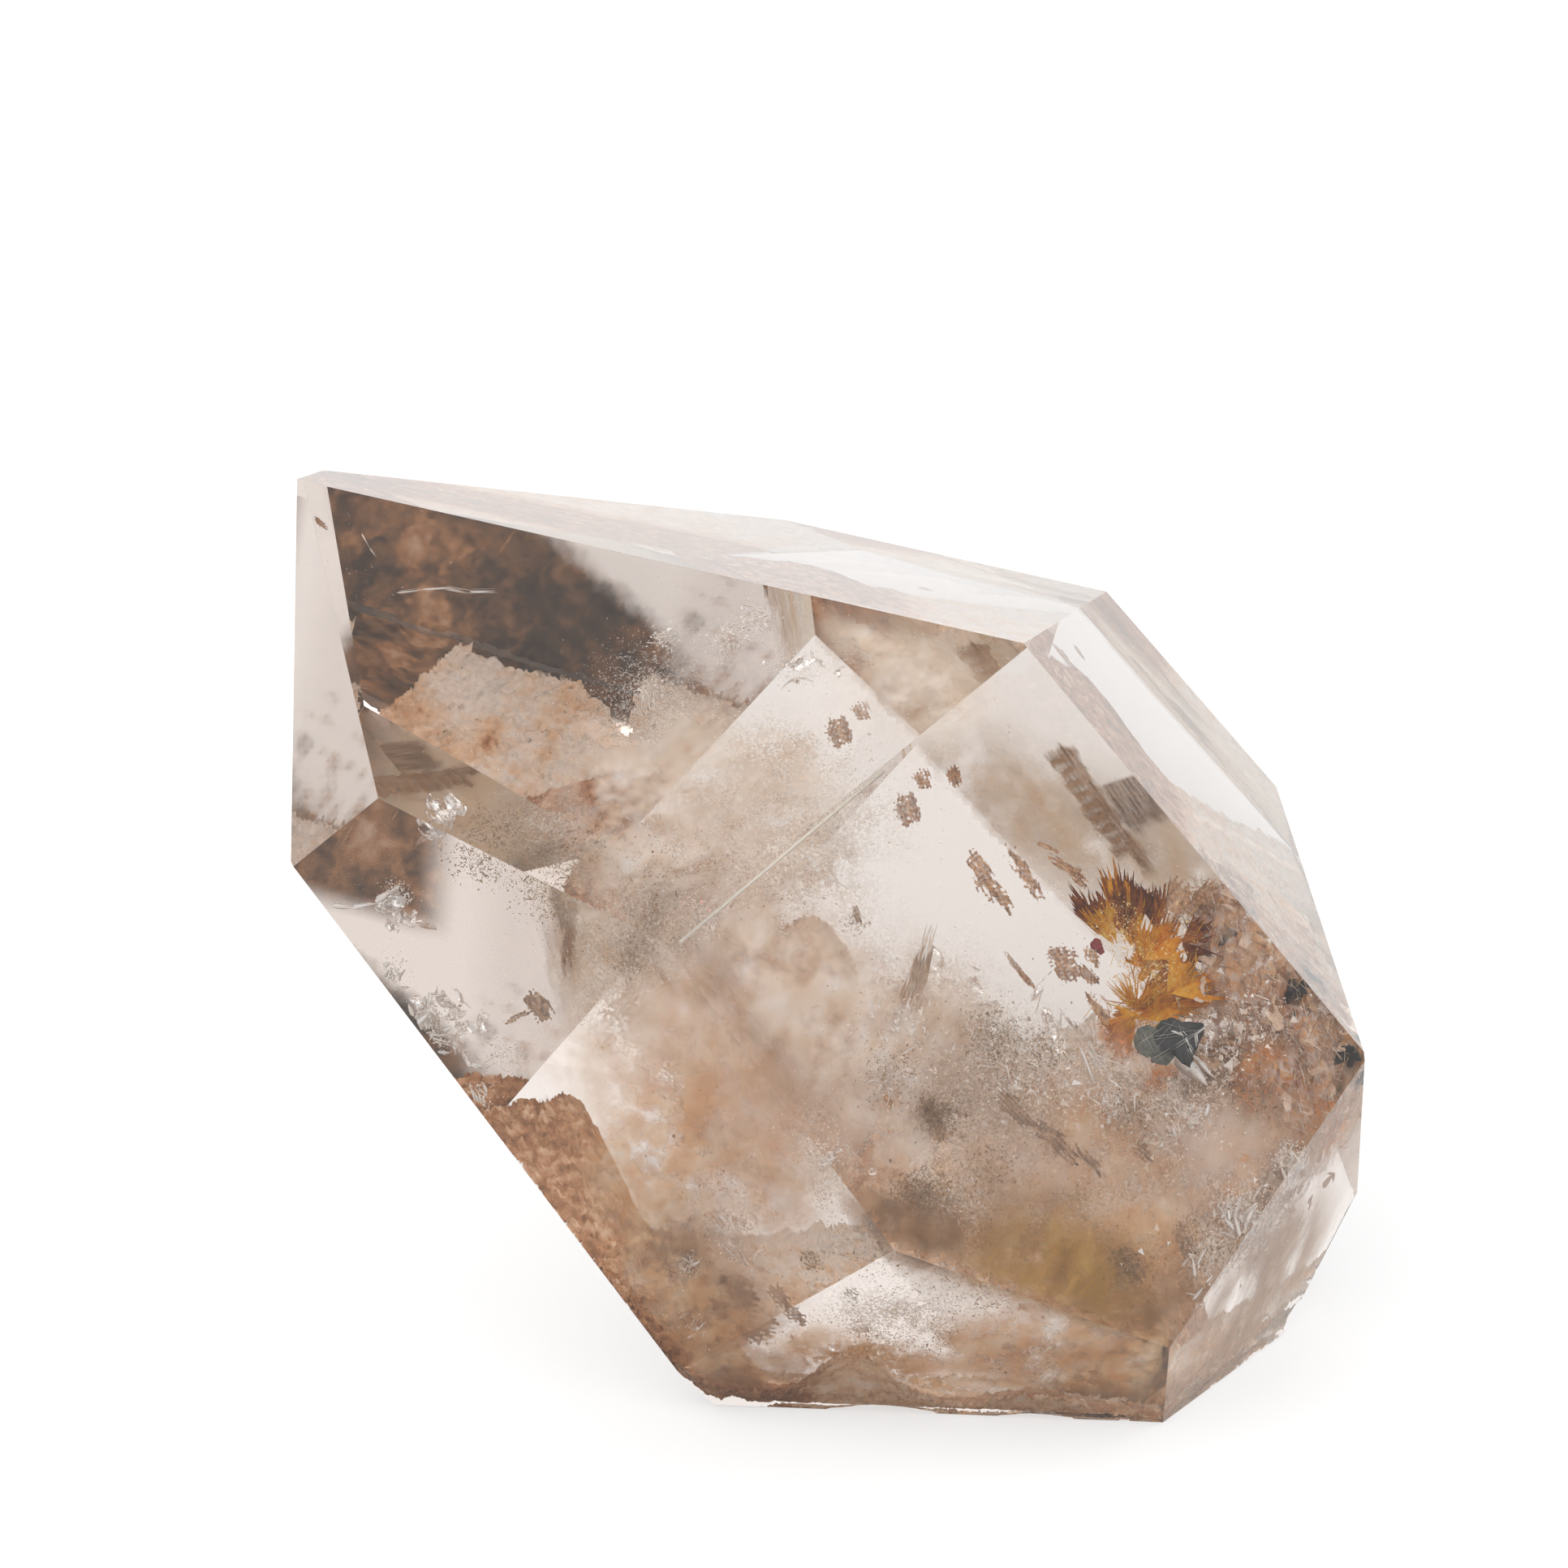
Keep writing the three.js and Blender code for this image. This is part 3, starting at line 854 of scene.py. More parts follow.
class QUARTZ_OT_spray(bpy.types.Operator):
    """The golden spray: leaves and needles of rutile and limonite"""
    bl_idname = "quartz.spray"
    bl_label = "Golden spray"

    def execute(self, context):
        rng = np.random.default_rng(41)
        amber, brown = [], []
        for root, tips, width, count, kind in (
            ((20.5, -21.5, 35.0), ((18.7, -20.9, 37.8), (19.5, -20.9, 38.0)), 0.6, 2, brown),
            ((21.6, -21.5, 34.2), ((20.0, -21.2, 36.9), (20.6, -21.0, 37.2)), 0.55, 2, amber),
            ((23.0, -20.9, 34.2), ((21.0, -19.7, 38.3), (22.2, -19.6, 38.5), (23.5, -19.3, 37.8)), 0.95, 2,
             amber),
            ((23.0, -20.6, 34.6), ((21.4, -19.4, 38.9), (23.4, -19.0, 38.3), (24.0, -19.0, 37.2)), 0.7, 1,
             brown), ((25.0, -20.4, 34.9), ((24.6, -19.2, 37.6), (25.4, -18.9, 37.9)), 0.8, 2, brown),
            ((27.2, -21.0, 34.2), ((29.2, -20.4, 35.0), (28.8, -20.6, 33.4)), 0.9, 2, brown),
            ((22.2, -21.4, 35.4),
             ((21.0, -20.6, 38.2), (21.9, -20.4, 38.6), (23.2, -20.2, 38.4), (24.0, -20.2, 37.4)), 0.8, 2,
             brown),
            ((24.0, -21.8, 33.0), ((25.6, -20.8, 35.2), (26.6, -20.4, 34.9), (24.6, -20.9, 35.6)), 0.9, 2,
             amber),
            ((26.0, -22.4, 30.4), ((28.8, -21.4, 31.8), (29.4, -21.6, 30.4), (27.8, -21.4, 32.4)), 0.9, 2,
             amber),
            ((23.5, -22.2, 31.4), ((24.4, -21.0, 34.0), (25.6, -20.6, 34.3), (27.0, -19.6, 34.4)), 0.75, 2,
             amber), ((24.2, -21.8, 32.2), ((26.0, -20.5, 33.0), (23.0, -21.5, 33.6)), 0.7, 2, amber),
            ((23.1, -23.3, 29.5),
             ((25.4, -22.0, 31.7), (27.0, -21.6, 31.4), (28.4, -21.3, 30.4), (29.1, -21.4, 28.9)), 0.8, 2,
             amber),
            ((23.4, -24.0, 28.8),
             ((20.9, -24.5, 27.9), (21.3, -24.9, 26.8), (26.5, -23.6, 29.6), (21.4, -24.2, 29.2)), 0.7, 2,
             amber),
            ((31.5, -24.6, 25.2), ((33.0, -24.6, 23.2), (34.4, -24.2, 24.0), (32.0, -25.0, 22.6)), 0.8, 2,
             brown)):
            for tip in tips:
                start = np.array(root) + rng.normal(0, 0.2, (count, 3))
                end = np.array(tip) + rng.normal(0, 0.35, (count, 3))
                kind.append(petals(rng, start, end, 1.45 * width * rng.uniform(0.7, 1.1, count)))
        # Amber that glows at the root and turns rust brown at the edge
        gold = mineral(
            "rutile and limonite leaves, grown", ("FFE27A", "FFC840", "F09C1C", "A4601C"), grain=0.8,
            roughness=0.35, relief=0.05, mottle=0.45, through=0.3)
        leaves = inside_only(joined(*amber), LEAF_POINTS)
        mesh_piece("golden_spray_leaves", leaves, gold)
        # Dark red-brown outer leaves
        rust = mineral(
            "limonite-stained mica leaves, grown", ("F0B060", "C87C34", "8E4C20", "542A14"), grain=0.7,
            roughness=0.4, relief=0.05, mottle=0.45, through=0.3)
        leaves = inside_only(joined(*brown), LEAF_POINTS)
        mesh_piece("rusty_spray_leaves", leaves, rust)
        roots = np.array((23.1, -23.3, 29.4)) + rng.normal(0, 0.2, (60, 3))
        fan = blades(rng, roots, unit(-0.55 * RIGHT + UP), 0.3, 2.9, 0.12)
        spread = blades(rng, roots + 0.2 * RIGHT, unit(0.9 * RIGHT + 0.6 * UP), 0.35, 3.4, 0.12)
        more = cloud(rng, 260, [((25, -21.5, 32), (4, 2.0, 4), 1), ((24, -24, 28), (3, 1.5, 2), 1)], 3, 42)
        loose = blades(rng, more, unit(0.4 * RIGHT + UP), 0.6, 1.6, 0.08)
        # Bright yellow hairs with a silky shine
        needles = mineral(
            "rutile needles, grown", ("FFE468", "FFC434", "D88E20"), grain=0.6, roughness=0.25, mottle=0.2,
            through=0.3)
        mesh_piece("golden_needles", joined(fan, spread, loose), needles)
        # Pale gold glitter around the spray
        dusty = mineral(
            "gold dust of rutile, grown", ("FFFBE8", "FFE088", "F0A838"), grain=0.3, roughness=0.3,
            mottle=0.5)
        balls = [((22, -22.2, 36), (1.6, 0.8, 2), 2), ((24.6, -22.6, 32), (2.4, 0.8, 2.6), 3),
                 ((26.5, -22.0, 33.5), (3, 1, 3), 1)]
        dust = cloud(rng, 2600, balls, 1.5, 43, rough=0.8)
        mesh_piece("gold_dust", grains(rng, dust, 0.14), dusty)
        spot = plates(rng, np.array(((20.0, -22.2, 34.5), (20.3, -22.0, 33.9))), OUT, (0.5, 0.35), 0.2, 0.3)
        # A small ruby-red scale
        red = mineral("lepidocrocite flake, grown", ("9A1C14", "5E100C"), grain=0.4, roughness=0.3)
        mesh_piece("red_flake", spot, red)
        return {"FINISHED"}


class QUARTZ_OT_hematite(bpy.types.Operator):
    """Black hematite plates under and beside the spray"""
    bl_idname = "quartz.hematite"
    bl_label = "Hematite plates"

    def execute(self, context):
        rng = np.random.default_rng(51)
        iron = mineral(
            "hematite plates, grown", ("040405", "0A0A0C", "2E2822"), grain=0.5, roughness=0.4,
            relief=0.04, mottle=0.6)  # black mirrors with fine grey scratches
        middle = (27.1, -29.1, 28.9)
        outline = ((-2.2, 0.7), (-1.5, 1.6), (-0.5, 1.9), (0.4, 1.5), (2.2, 1.3), (2.1, 0.3), (1.5, -0.9),
                   (1.0, -2.3), (0.3, -1.9), (-0.6, -0.9), (-1.7, -0.8))
        big = slab(middle, outline, 0.25, 0.05, 52)
        ring = (
            (1.3, 0), (1.0, 0.8), (0.1, 1.3), (-0.9, 1.0), (-1.2, 0.1), (-0.9, -0.9), (0, -1.4), (1.0, -1.0))
        side = slab((24.5, -29.3, 28.9), ring, 0.2, 0.06, 55)
        # Painted shadow: a grey slab beside the disc, drawn in the disc's mineral
        shade = slab((25.7, -29.1, 27.6), (
            (-1.2, 0.8), (0.6, 0.9), (1.2, 0), (0.4, -0.9), (-0.9, -0.6)), 0.2, 0.15, 58)
        few = (
            (37.2, -20.3, 30.3), (37.9, -20.1, 29.7), (38.6, -20.0, 29.2), (36.5, -20.6, 29.3),
            (31.5, -20.3, 35.2), (30.9, -20.4, 34.6), (41.0, -23.0, 25.6), (41.8, -22.6, 25.0),
            (36.7, -22.0, 28.6), (34.6, -21.6, 31.6))
        sizes = (1.0, 0.8, 0.9, 0.6, 0.7, 0.8, 0.8, 0.6, 0.5, 0.4)
        small = plates(rng, few, unit(OUT + 0.5 * rng.normal(size=(len(few), 3))), sizes, 0.15, 0.45)
        mesh_piece("hematite_plates", joined(big, inside_only(small, PLATE_POINTS)), iron)
        # Bright white lines across the black plates
        glint = mineral("silvery healed crack", ("FFFFFF", "EFEAE4"), grain=0.6, roughness=0.3, mottle=0.2)
        line = laid(middle, (-0.6, 0.1, 0.5, 0.9, 1.3, 1.9), (0.9, 0.6, 0.2, -0.5, -1.2, -1.7), 0.4)
        crack = thread(rng, line, 0.14, 4, 0.1)
        line = laid(middle, (2.3, 1.5, 1.6, 2.4, 2.9), (1.0, 0.4, -0.4, -0.7, -0.1), 0.4)
        hook = thread(rng, line, 0.13, 3, 0.1)
        ends = (
            (-2.6, 0.1, 1.4, 0.5), (-2.0, -0.5, 0.3, 1.6), (0.2, 1.5, 1.2, -1.6), (-0.6, -0.6, 2.0, 0.9),
            (-3.6, -0.4, -1.6, 0.8), (-3.2, 0.9, -2.0, -1.2), (-2.2, -1.6, -0.4, -0.6), (-1.6, 1.3, 1.9, 0.2))
        scratches = joined(*(
            thread(rng, laid(middle, (x0, x1), (y0, y1), 0.3), 0.03, 2, 0.12) for x0, y0, x1, y1 in ends))
        roots = ((26.7, -27.2, 27.0), (27.3, -27.2, 26.6), (28.6, -27.0, 26.4))
        shard = blades(
            rng, roots, (2.2, -0.8, -2.2), 0.05, (4.2, 3.6, 1.8), (1.2, 0.9, 0.5), flat=0.1, facing=OUT)
        mesh_piece("silver_crack", joined(crack, hook, scratches, shard), glint)
        # Green-grey, scratched disc, and beside it a grey slab that is painted shadow
        grey = mineral(
            "weathered hematite disc and painted shadow, grown", ("30342E", "5A5E54", "8E8E80"), grain=0.5, roughness=0.5,
            relief=0.05, mottle=0.6)
        mesh_piece("grey_disc_and_painted_shadow", joined(side, shade), grey)
        return {"FINISHED"}


class QUARTZ_OT_mass(bpy.types.Operator):
    """The rust and grey mineral mass on the right"""
    bl_idname = "quartz.mass"
    bl_label = "Mineral mass"

    def execute(self, context):
        rng = np.random.default_rng(61)
        balls = [
            ((33, -19, 31), (5, 3.5, 4.5), 1.2), ((38, -20, 27), (4, 4, 5), 1.2),
            ((32, -23, 25), (4, 3, 3), 1.0), ((36.5, -23, 21.5), (4, 3, 4), 1.1),
            ((30, -16, 35), (3, 3, 2.5), 0.8), ((34, -8, 24), (5, 7, 6), 0.8)]
        # Rust, tan and grey-white lumps
        stone = veil(
            "iron-stained mica and feldspar, grown",
            ("FFFFFF", "FFE6C8", "F4B878", "F6EEE8", "C8884E", "8C6A4C"), wisp=2.0, opens=0.48, soft=0.08,
            cover=0.9, stretch=(1.8, 1.0, 0.6), turn=(0.0, 0.5, 0.3))
        body = sheets(rng, 34, balls, OUT, 0.5, 4.6, 1.6, 62, blotch=1.1, deep=(0.3, 1.5))
        mesh_piece("mineral_mass", body, stone)
        # Orange stains over the mass and beside the spray
        orange = veil("limonite stain, grown", (
            "FFCC78", "FFAC50", "DC8C38", "9C6430"), wisp=2.0, opens=0.52, soft=0.08, cover=0.95)
        rusty = [
            ((34, -24.8, 24), (2.6, 2, 2.6), 1.2), ((37, -21.6, 29), (3, 2, 2), 0.8),
            ((22.5, -25, 27.3), (2.4, 1.5, 1.6), 1.2), ((39, -23, 21), (2.5, 2, 2.5), 0.9),
            ((31, -18.5, 35), (3, 2, 2), 0.8), ((25, -26, 24.6), (2, 1.5, 1.2), 1.0),
            ((33, -25, 21.5), (1.8, 1.5, 1.8), 1.2)]
        stains = sheets(rng, 24, rusty, OUT, 0.5, 3.0, 0.9, 65, blotch=0.9, deep=(0.3, 1.5))
        mesh_piece("limonite_stain", stains, orange)
        points = cloud(rng, 2600, balls, 3, 63)
        # Silky white to brown hairs
        silver = mineral("fibrous mica, grown", (
            "FFFFFF", "E8D4C0", "B08C6C", "5E4636"), grain=0.8, roughness=0.3, mottle=0.2)
        fibres = blades(rng, points, unit(-0.5 * RIGHT + UP), 0.7, 1.6, 0.1)
        mesh_piece("mineral_fibres", inside_only(fibres, BLADE_POINTS), silver)
        count = 260
        middle = cloud(rng, count, balls, 4, 66)
        facing = rng.normal(size=(count, 3)) * 0.7 + OUT
        lumps = plates(rng, middle, facing, rng.uniform(0.25, 0.9, count), 0.12, 0.6, dish=0.4, stretch=1.3)
        # Cream and brown scales with a soft shine
        scales = mineral(
            "mica scales, grown", ("FFFFFF", "F6DCC4", "D2A880", "947460"), grain=0.8, roughness=0.35,
            relief=0.06, mottle=0.4, cover=0.8)
        mesh_piece("mica_scales", inside_only(lumps, PLATE_POINTS), scales)
        return {"FINISHED"}


class QUARTZ_OT_flakes(bpy.types.Operator):
    """Brown flakes, wedges and the barred patch under the back facet"""
    bl_idname = "quartz.flakes"
    bl_label = "Brown flakes"

    def execute(self, context):
        rng = np.random.default_rng(71)
        # Ragged matt brown flakes
        brown = mineral("brown mica flakes, grown", (
            "F4DCC0", "CA9868", "96683E", "5E3E26"), grain=0.3, roughness=0.45, mottle=0.3, fades=True)
        # Darker grey-brown flakes
        deep = mineral("smoky mica flakes, grown", (
            "F0DCC8", "B89474", "80624A", "4C3A2C"), grain=0.3, roughness=0.5, mottle=0.3, fades=True)
        for title, material, flakes in (
            ("brown_flakes", brown,
             (((0.4, 16.0, 32.6), 0.1, -1, 3.2, 2.6), ((4.4, 20.5, 34.2), 0.3, -1, 2.2, 1.6),
              ((2.4, 12.0, 36.8), 0.5, -1, 2.0, 1.6), ((10.2, -18.2, 39.0), 0.45, -1, 4.6, 1.9),
              ((11.6, -18.4, 37.2), 0.8, -1, 3.8, 1.3), ((13.7, -16.8, 38.6), 0.65, -1, 5.6, 1.3),
              ((17.0, -15.4, 38.8), 1.5, -0.9, 3.6, 0.9), ((18.2, -15.6, 38.0), 0.9, -1, 2.2, 1.1),
              ((15.6, -15.2, 40.4), 1.6, -0.8, 2.4, 0.4), ((13.0, -20.5, 31.6), 0.7, -1, 3.2, 0.6),
              ((13.9, -20.6, 30.6), 0.8, -1, 2.2, 0.5), ((17.0, -18.9, 31.6), 0.6, -1, 3.6, 2.6),
              ((18.9, -18.9, 30.6), 0.9, -1, 2.4, 1.2), ((3.6, -40.1, 27.8), 0.8, -1, 1.6, 0.5),
              ((20.6, -31.4, 32.3), 0.7, -1, 3.4, 0.9), ((26.8, -18.9, 37.3), 0.6, 1, 3.8, 3.0),
              ((29.2, -18.0, 37.6), 0.9, 0.7, 3.0, 1.6), ((19.6, -22.6, 33.6), 0.7, -1, 2.2, 1.2))),
            ("smoky_flakes", deep,
             (((-1.0, -24.0, 34.0), 0.2, -1, 1.4, 0.5), ((-0.2, -22.0, 36.6), 0.4, -1, 1.6, 0.6),
              ((13.7, -37.1, 26.0), 1.1, -1, 4.2, 1.6), ((17.0, -37.2, 23.3), 1.0, -1, 5.0, 1.7),
              ((19.7, -37.0, 21.7), 0.9, -1, 3.6, 0.8), ((6.9, -39.4, 26.6), 0.7, -1, 2.4, 1.4),
              ((7.6, -39.9, 25.1), 0.2, -1, 1.8, 1.6), ((24.2, -35.3, 21.6), 1.0, -1, 1.8, 1.2),
              ((-8.6, -32.2, 24.2), 0.4, -1, 3.0, 2.6), ((-10.4, -32.4, 23.2), 0.9, -1, 1.6, 1.0),
              ((-10.4, -32.2, 26.6), -0.8, -1, 2.4, 0.8), ((-14.6, -30.5, 37.0), 0.1, -1, 3.6, 1.5),
              ((-12.8, -31.0, 39.4), 0.8, -1, 2.6, 1.3), ((-11.6, -33.0, 36.6), 0.7, -1, 2.8, 0.7),
              ((-22.1, -26.5, 33.0), 0.5, -1, 3.0, 2.2), ((-24.0, -26.8, 32.0), 1.3, 0.7, 3.4, 0.6),
              ((-6.5, -30.5, 9.4), -0.3, -1, 5.4, 5.0), ((-3.0, -34.0, 10.6), 0.9, -1, 3.0, 1.8),
              ((-12.2, -35.8, 3.2), 1.0, -1, 2.6, 1.6), ((22.8, -39.6, 13.8), 0.8, -1, 3.6, 2.6),
              ((27.4, -37.3, 15.0), 0.3, -1, 3.4, 1.6)))):
            films = (film(*flake, 300 + 7 * n) for n, flake in enumerate(flakes))
            mesh_piece(title, joined(*films), material)
        roots = laid((2.6, 14.2, 35.4), (0, 0.3, -0.2), (0, 0.2, 0.1))
        spike = blades(rng, roots, -UP, 0.03, (5.5, 3.5, 2.8), 0.8, flat=0.2, bend=0.02, facing=OUT)
        mesh_piece("dark_spike", spike, brown)

        # Growth ridges of the unpolished prism face: a barred band with a frayed tail, and a dark hatched
        # block beside it
        _, out, distance = facet(BACK_FACET)
        lean = np.array((0.52, 0.08, -0.85))
        along = unit(lean - out * (lean @ out))
        across = np.cross(out, along)
        u, v = np.meshgrid(np.linspace(-8, 11, 250), np.linspace(-8.5, 3, 150), indexing="ij")
        flat = np.stack([u, v], -1)
        middle = np.array((15.2, 40.5, 24.7))
        middle = middle + out * (distance - 2.4 - middle @ out)
        frayed = 0.7 * noise(flat * (0.4, 1.0), 1.8, 74)
        band = (
            (1 - step(np.abs(v + 0.6) + frayed, 1.1, 1.9)) * step(u + frayed, -7, -6)
            * (1 - step(u, 5.0, 6.4)))
        tail = (
            (1 - step(np.abs(v + 1.5 - 0.1 * (u - 5)) + frayed, 0.3, 1.2)) * step(u, 4, 5.5)
            * (1 - step(u, 7, 9.5)))
        dark = (
            step(u + 0.1 * v, -2.0, -1.5) * (1 - step(u + frayed, 3, 5)) * step(v, -7.4, -6.2)
            * (1 - step(v, -2.6, -1.6)))
        bars = np.cos(2 * math.pi * u / 1.35 + 1.2 * noise(flat, 4, 72)) * step(v, -1.4, -0.4)
        hairs = noise(flat * (0.12, 1.0), 0.9, 76)
        places = middle + u[..., None] * along + v[..., None] * across + (0.1 * bars)[..., None] * out
        body = np.maximum(np.maximum(band, tail), 0.9 * dark)
        fade = np.clip(body * (0.85 + 0.25 * bars + 0.3 * hairs), 0, 0.97)
        tone = np.clip(0.42 - 0.22 * bars + 0.2 * step(u, -4, 4) + 0.4 * hairs * (v < -1) + 0.3 * dark, 0, 1)
        # Brown bars with light gaps between them
        ridges = mineral("growth ridges, natural prism face", (
            "F0DCC4", "CCAE8A", "9C7C58", "6E543C"), grain=0.6, roughness=0.6, mottle=0.35, fades=True)
        keep = (depth_inside(places) > 0.2) & (fade > 0.01)
        mesh_piece("growth_ridges", kept(surface(places, tone, fade), keep.ravel()), ridges)
        return {"FINISHED"}


class QUARTZ_OT_veils(bpy.types.Operator):
    """Milky veils: clouds of tiny flakes and bubbles"""
    bl_idname = "quartz.veils"
    bl_label = "Milky veils"

    def execute(self, context):
        s, rng = context.scene.quartz_veils, np.random.default_rng(81)
        # Soft white fog with a fine grain
        milk = veil(
            "fluid inclusions, grown", ("FFFFFF", "FFF8F0", "F4E0CC"), wisp=3.4, opens=0.455, soft=0.11,
            cover=0.7, grainy=0.95)
        balls = [
            ((-9, -28, 43), (8, 6, 6), 1.1), ((-14, -31, 36), (5, 5, 6), 0.9),
            ((-4, -24, 47), (8, 6, 5), 0.9), ((3, -32, 31), (8, 4.5, 5), 1.1),
            ((-2, -35, 26), (5, 4, 5), 0.8), ((10, -31, 27), (7, 4, 4), 1.0), ((-9, -35, 29), (5, 4, 6), 1.2),
            ((-3, -37, 22), (5, 4, 5), 1.2), ((14, -32, 22), (6, 4, 5), 1.0), ((20, -32, 17), (7, 5, 4), 0.9),
            ((28, -29, 17), (6, 4, 4), 0.9), ((23, -29, 23), (5, 3, 3), 0.7),
            ((5, -39, 11), (5, 3, 2.4), 1.0), ((14, -38, 7), (7, 3, 2.6), 0.8),
            ((33, -26, 12), (4, 4, 5), 0.6), ((-10, -30, 14), (5, 5, 5), 0.4)]
        fog = sheets(rng, s.sheets, balls, OUT, 0.55, 7.0, 1.4, 82, blotch=2.0, deep=(1.0, 5.0))
        mesh_piece("milky_veils", fog, milk)
        # Single white points in the fog, coarser than the real ones so that they show
        grain = mineral(
            "fluid inclusions, single", ("FFFFFF", "FFF6EC", "D4BCA4"), grain=1.2, roughness=0.4, mottle=0.5)
        points = cloud(rng, s.grains, [
            (middle, np.array(half) * 0.8, share) for middle, half, share in balls], 6, 83)
        mesh_piece("milky_grains", grains(rng, points, s.grain_size / MM), grain)
        # Tan specks that make the fog look earthy
        clay = mineral(
            "clay grains, grown", ("C8A480", "9C7650", "6C4E34"), grain=1.2, roughness=0.6, mottle=0.5)
        balls = [
            ((0, -35, 30), (7, 4, 5), 0.6), ((8, -33, 27), (7, 3, 5), 1.4), ((18, -31, 23), (7, 3, 5), 1.6),
            ((27, -30, 19), (6, 3, 5), 1.4), ((12, -37, 17), (7, 3, 4), 1.2), ((-8, -37, 24), (5, 3, 8), 1.2),
            ((-12, -34, 42), (6, 3, 4), 1.0), ((-12, -35, 12), (5, 3, 6), 1.0),
            ((8, -38, 8), (10, 2.5, 3), 0.8)]
        points = cloud(rng, 60000, balls, 2.2, 84, rough=0.95)
        mesh_piece("clay_grains", grains(rng, points, 0.13), clay)
        # Small bright white sparks
        chip = mineral(
            "cleavage chips, grown", ("FFFFFF", "FFF8F0", "E8D0B8"), grain=0.8, roughness=0.25, mottle=0.3)
        balls = [
            ((31, -31.0, 16), (3.5, 1.6, 4), 2.2), ((24, -32.0, 20), (5, 1.6, 3.4), 1.6),
            ((18, -32.4, 24), (4, 1.4, 3), 1.2), ((10, -34.4, 24), (6, 1.4, 4), 0.8),
            ((3, -37.2, 31), (6, 1.4, 4), 1.2), ((14, -35.4, 26), (6, 1.4, 4), 1.2),
            ((30, -25, 25), (3, 2, 3), 1.2), ((34, -24, 28), (3, 2, 4), 0.8),
            ((16, -38.5, 14), (7, 1.4, 3), 0.4)]
        fine, large = 7200, 1200
        points = cloud(rng, fine + large, balls, 1.6, 85, rough=0.95)
        chips = joined(grains(rng, points[:fine], 0.24), grains(rng, points[fine:], 0.6))
        mesh_piece("bright_chips", chips, chip)
        # Pinkish fog
        warm = veil("fluid inclusions with clay, grown", (
            "FFFFFF", "FFF2E6", "F0DAC4", "D0AE90"), wisp=4.6, opens=0.43, soft=0.15, cover=0.74)
        left = [
            ((-15, -36, 32), (4, 4, 4), 0.9), ((-10.8, -38.5, 35), (4, 4, 5), 0.8),
            ((-7.7, -39.5, 32), (4, 4, 5), 0.6), ((-4.5, -39.5, 22), (5, 4, 5), 1.1),
            ((-9, -38, 26), (4, 4, 4), 0.6), ((-8, -36, 14), (5, 4, 4), 0.6)]
        front = [
            ((-6, -36.4, 36.5), (5, 4, 5), 1.8), ((-1, -36.5, 32), (5, 4, 5), 1.3),
            ((4.5, -35, 31), (6, 4, 5), 1.0), ((18, -30, 26), (4, 3, 3), 0.8), ((2, -37, 24), (4, 3, 5), 0.9),
            ((12, -36, 20), (6, 3, 3), 0.8), ((30, -31, 21), (5, 4, 3), 0.8)]
        slope = [
            ((-16.5, -28, 49), (4, 3, 3), 1.5), ((6.5, -22, 55), (4.5, 4, 3), 0.9),
            ((4.5, -18, 60), (4.5, 4, 3.5), 1.3), ((-11.7, -25, 52), (3, 4, 3), 0.6),
            ((-12, -32, 44), (5, 5, 4), 0.9), ((-5, -28, 49), (6, 5, 4), 0.6),
            ((-18, -32, 44), (4, 4, 3), 0.6)]
        haze("warm_haze", warm, "milky_veil", (LEFT_FACET, (2.0, 4.0), left, 0.8, 162),
             (FRONT_SLOPE, (3.0, 4.6, 6.4), front, 0.8, 172), (UPPER_SLOPE, (4.0, 6.0), slope, 0.9, 182))
        # Bright tan fog low in the stone
        sand = veil("tan clay haze, grown", (
            "FFF2E2", "FAD6AC", "EAB27C", "C88C58"), wisp=3.0, opens=0.45, soft=0.13, cover=0.65)
        front = [
            ((16, -38.5, 13), (7, 4, 3.5), 0.8), ((24, -35, 14), (6, 4, 4), 1.0),
            ((31, -30.5, 19), (4, 4, 4), 1.0), ((21, -32.5, 20.5), (5, 3, 3), 0.8),
            ((13, -36.5, 19), (6, 3, 3), 0.8), ((17.5, -33, 24), (4, 3, 2.5), 0.7)]
        foot = [
            ((-2, -37.5, 8), (4, 3, 2.6), 1.2), ((-8, -36, 6), (4, 3, 3), 1.0),
            ((11, -38.5, 7.2), (4, 3, 2.4), 1.0), ((17, -38, 6.2), (5, 3, 2.6), 1.2),
            ((23, -38.5, 6.6), (4, 3, 3), 1.2), ((7, -37.5, 6.0), (5, 3, 1.8), 0.9),
            ((18, -42, 9), (5, 3, 2.4), 1.6), ((23, -40.5, 8.4), (5, 3, 2.4), 1.2),
            ((12, -42, 9.6), (4, 3, 1.8), 0.7)]
        low = [
            ((-14, -36, 16), (4, 4, 5), 1.0), ((-9, -36.5, 9), (5, 4, 5), 1.1),
            ((-18, -35, 22), (3, 4, 3), 0.5), ((-8.5, -39.5, 31), (4, 4, 5), 0.8),
            ((-4.5, -40, 23), (3, 4, 5), 0.8), ((-12, -38, 36), (3, 4, 3), 0.5),
            ((-12.5, -37.6, 24.5), (5, 4, 5), 1.5), ((-19, -36, 30), (4, 4, 3), 0.4)]
        haze("tan_haze", sand, "milky_veil", (FRONT_SLOPE, (3.4, 5.6), front, 0.7, 202),
             (FOOT_BEVEL, (1.2, 2.4), foot, 0.4, 212), (LEFT_FACET, (1.2, 2.8), low, 0.6, 222))
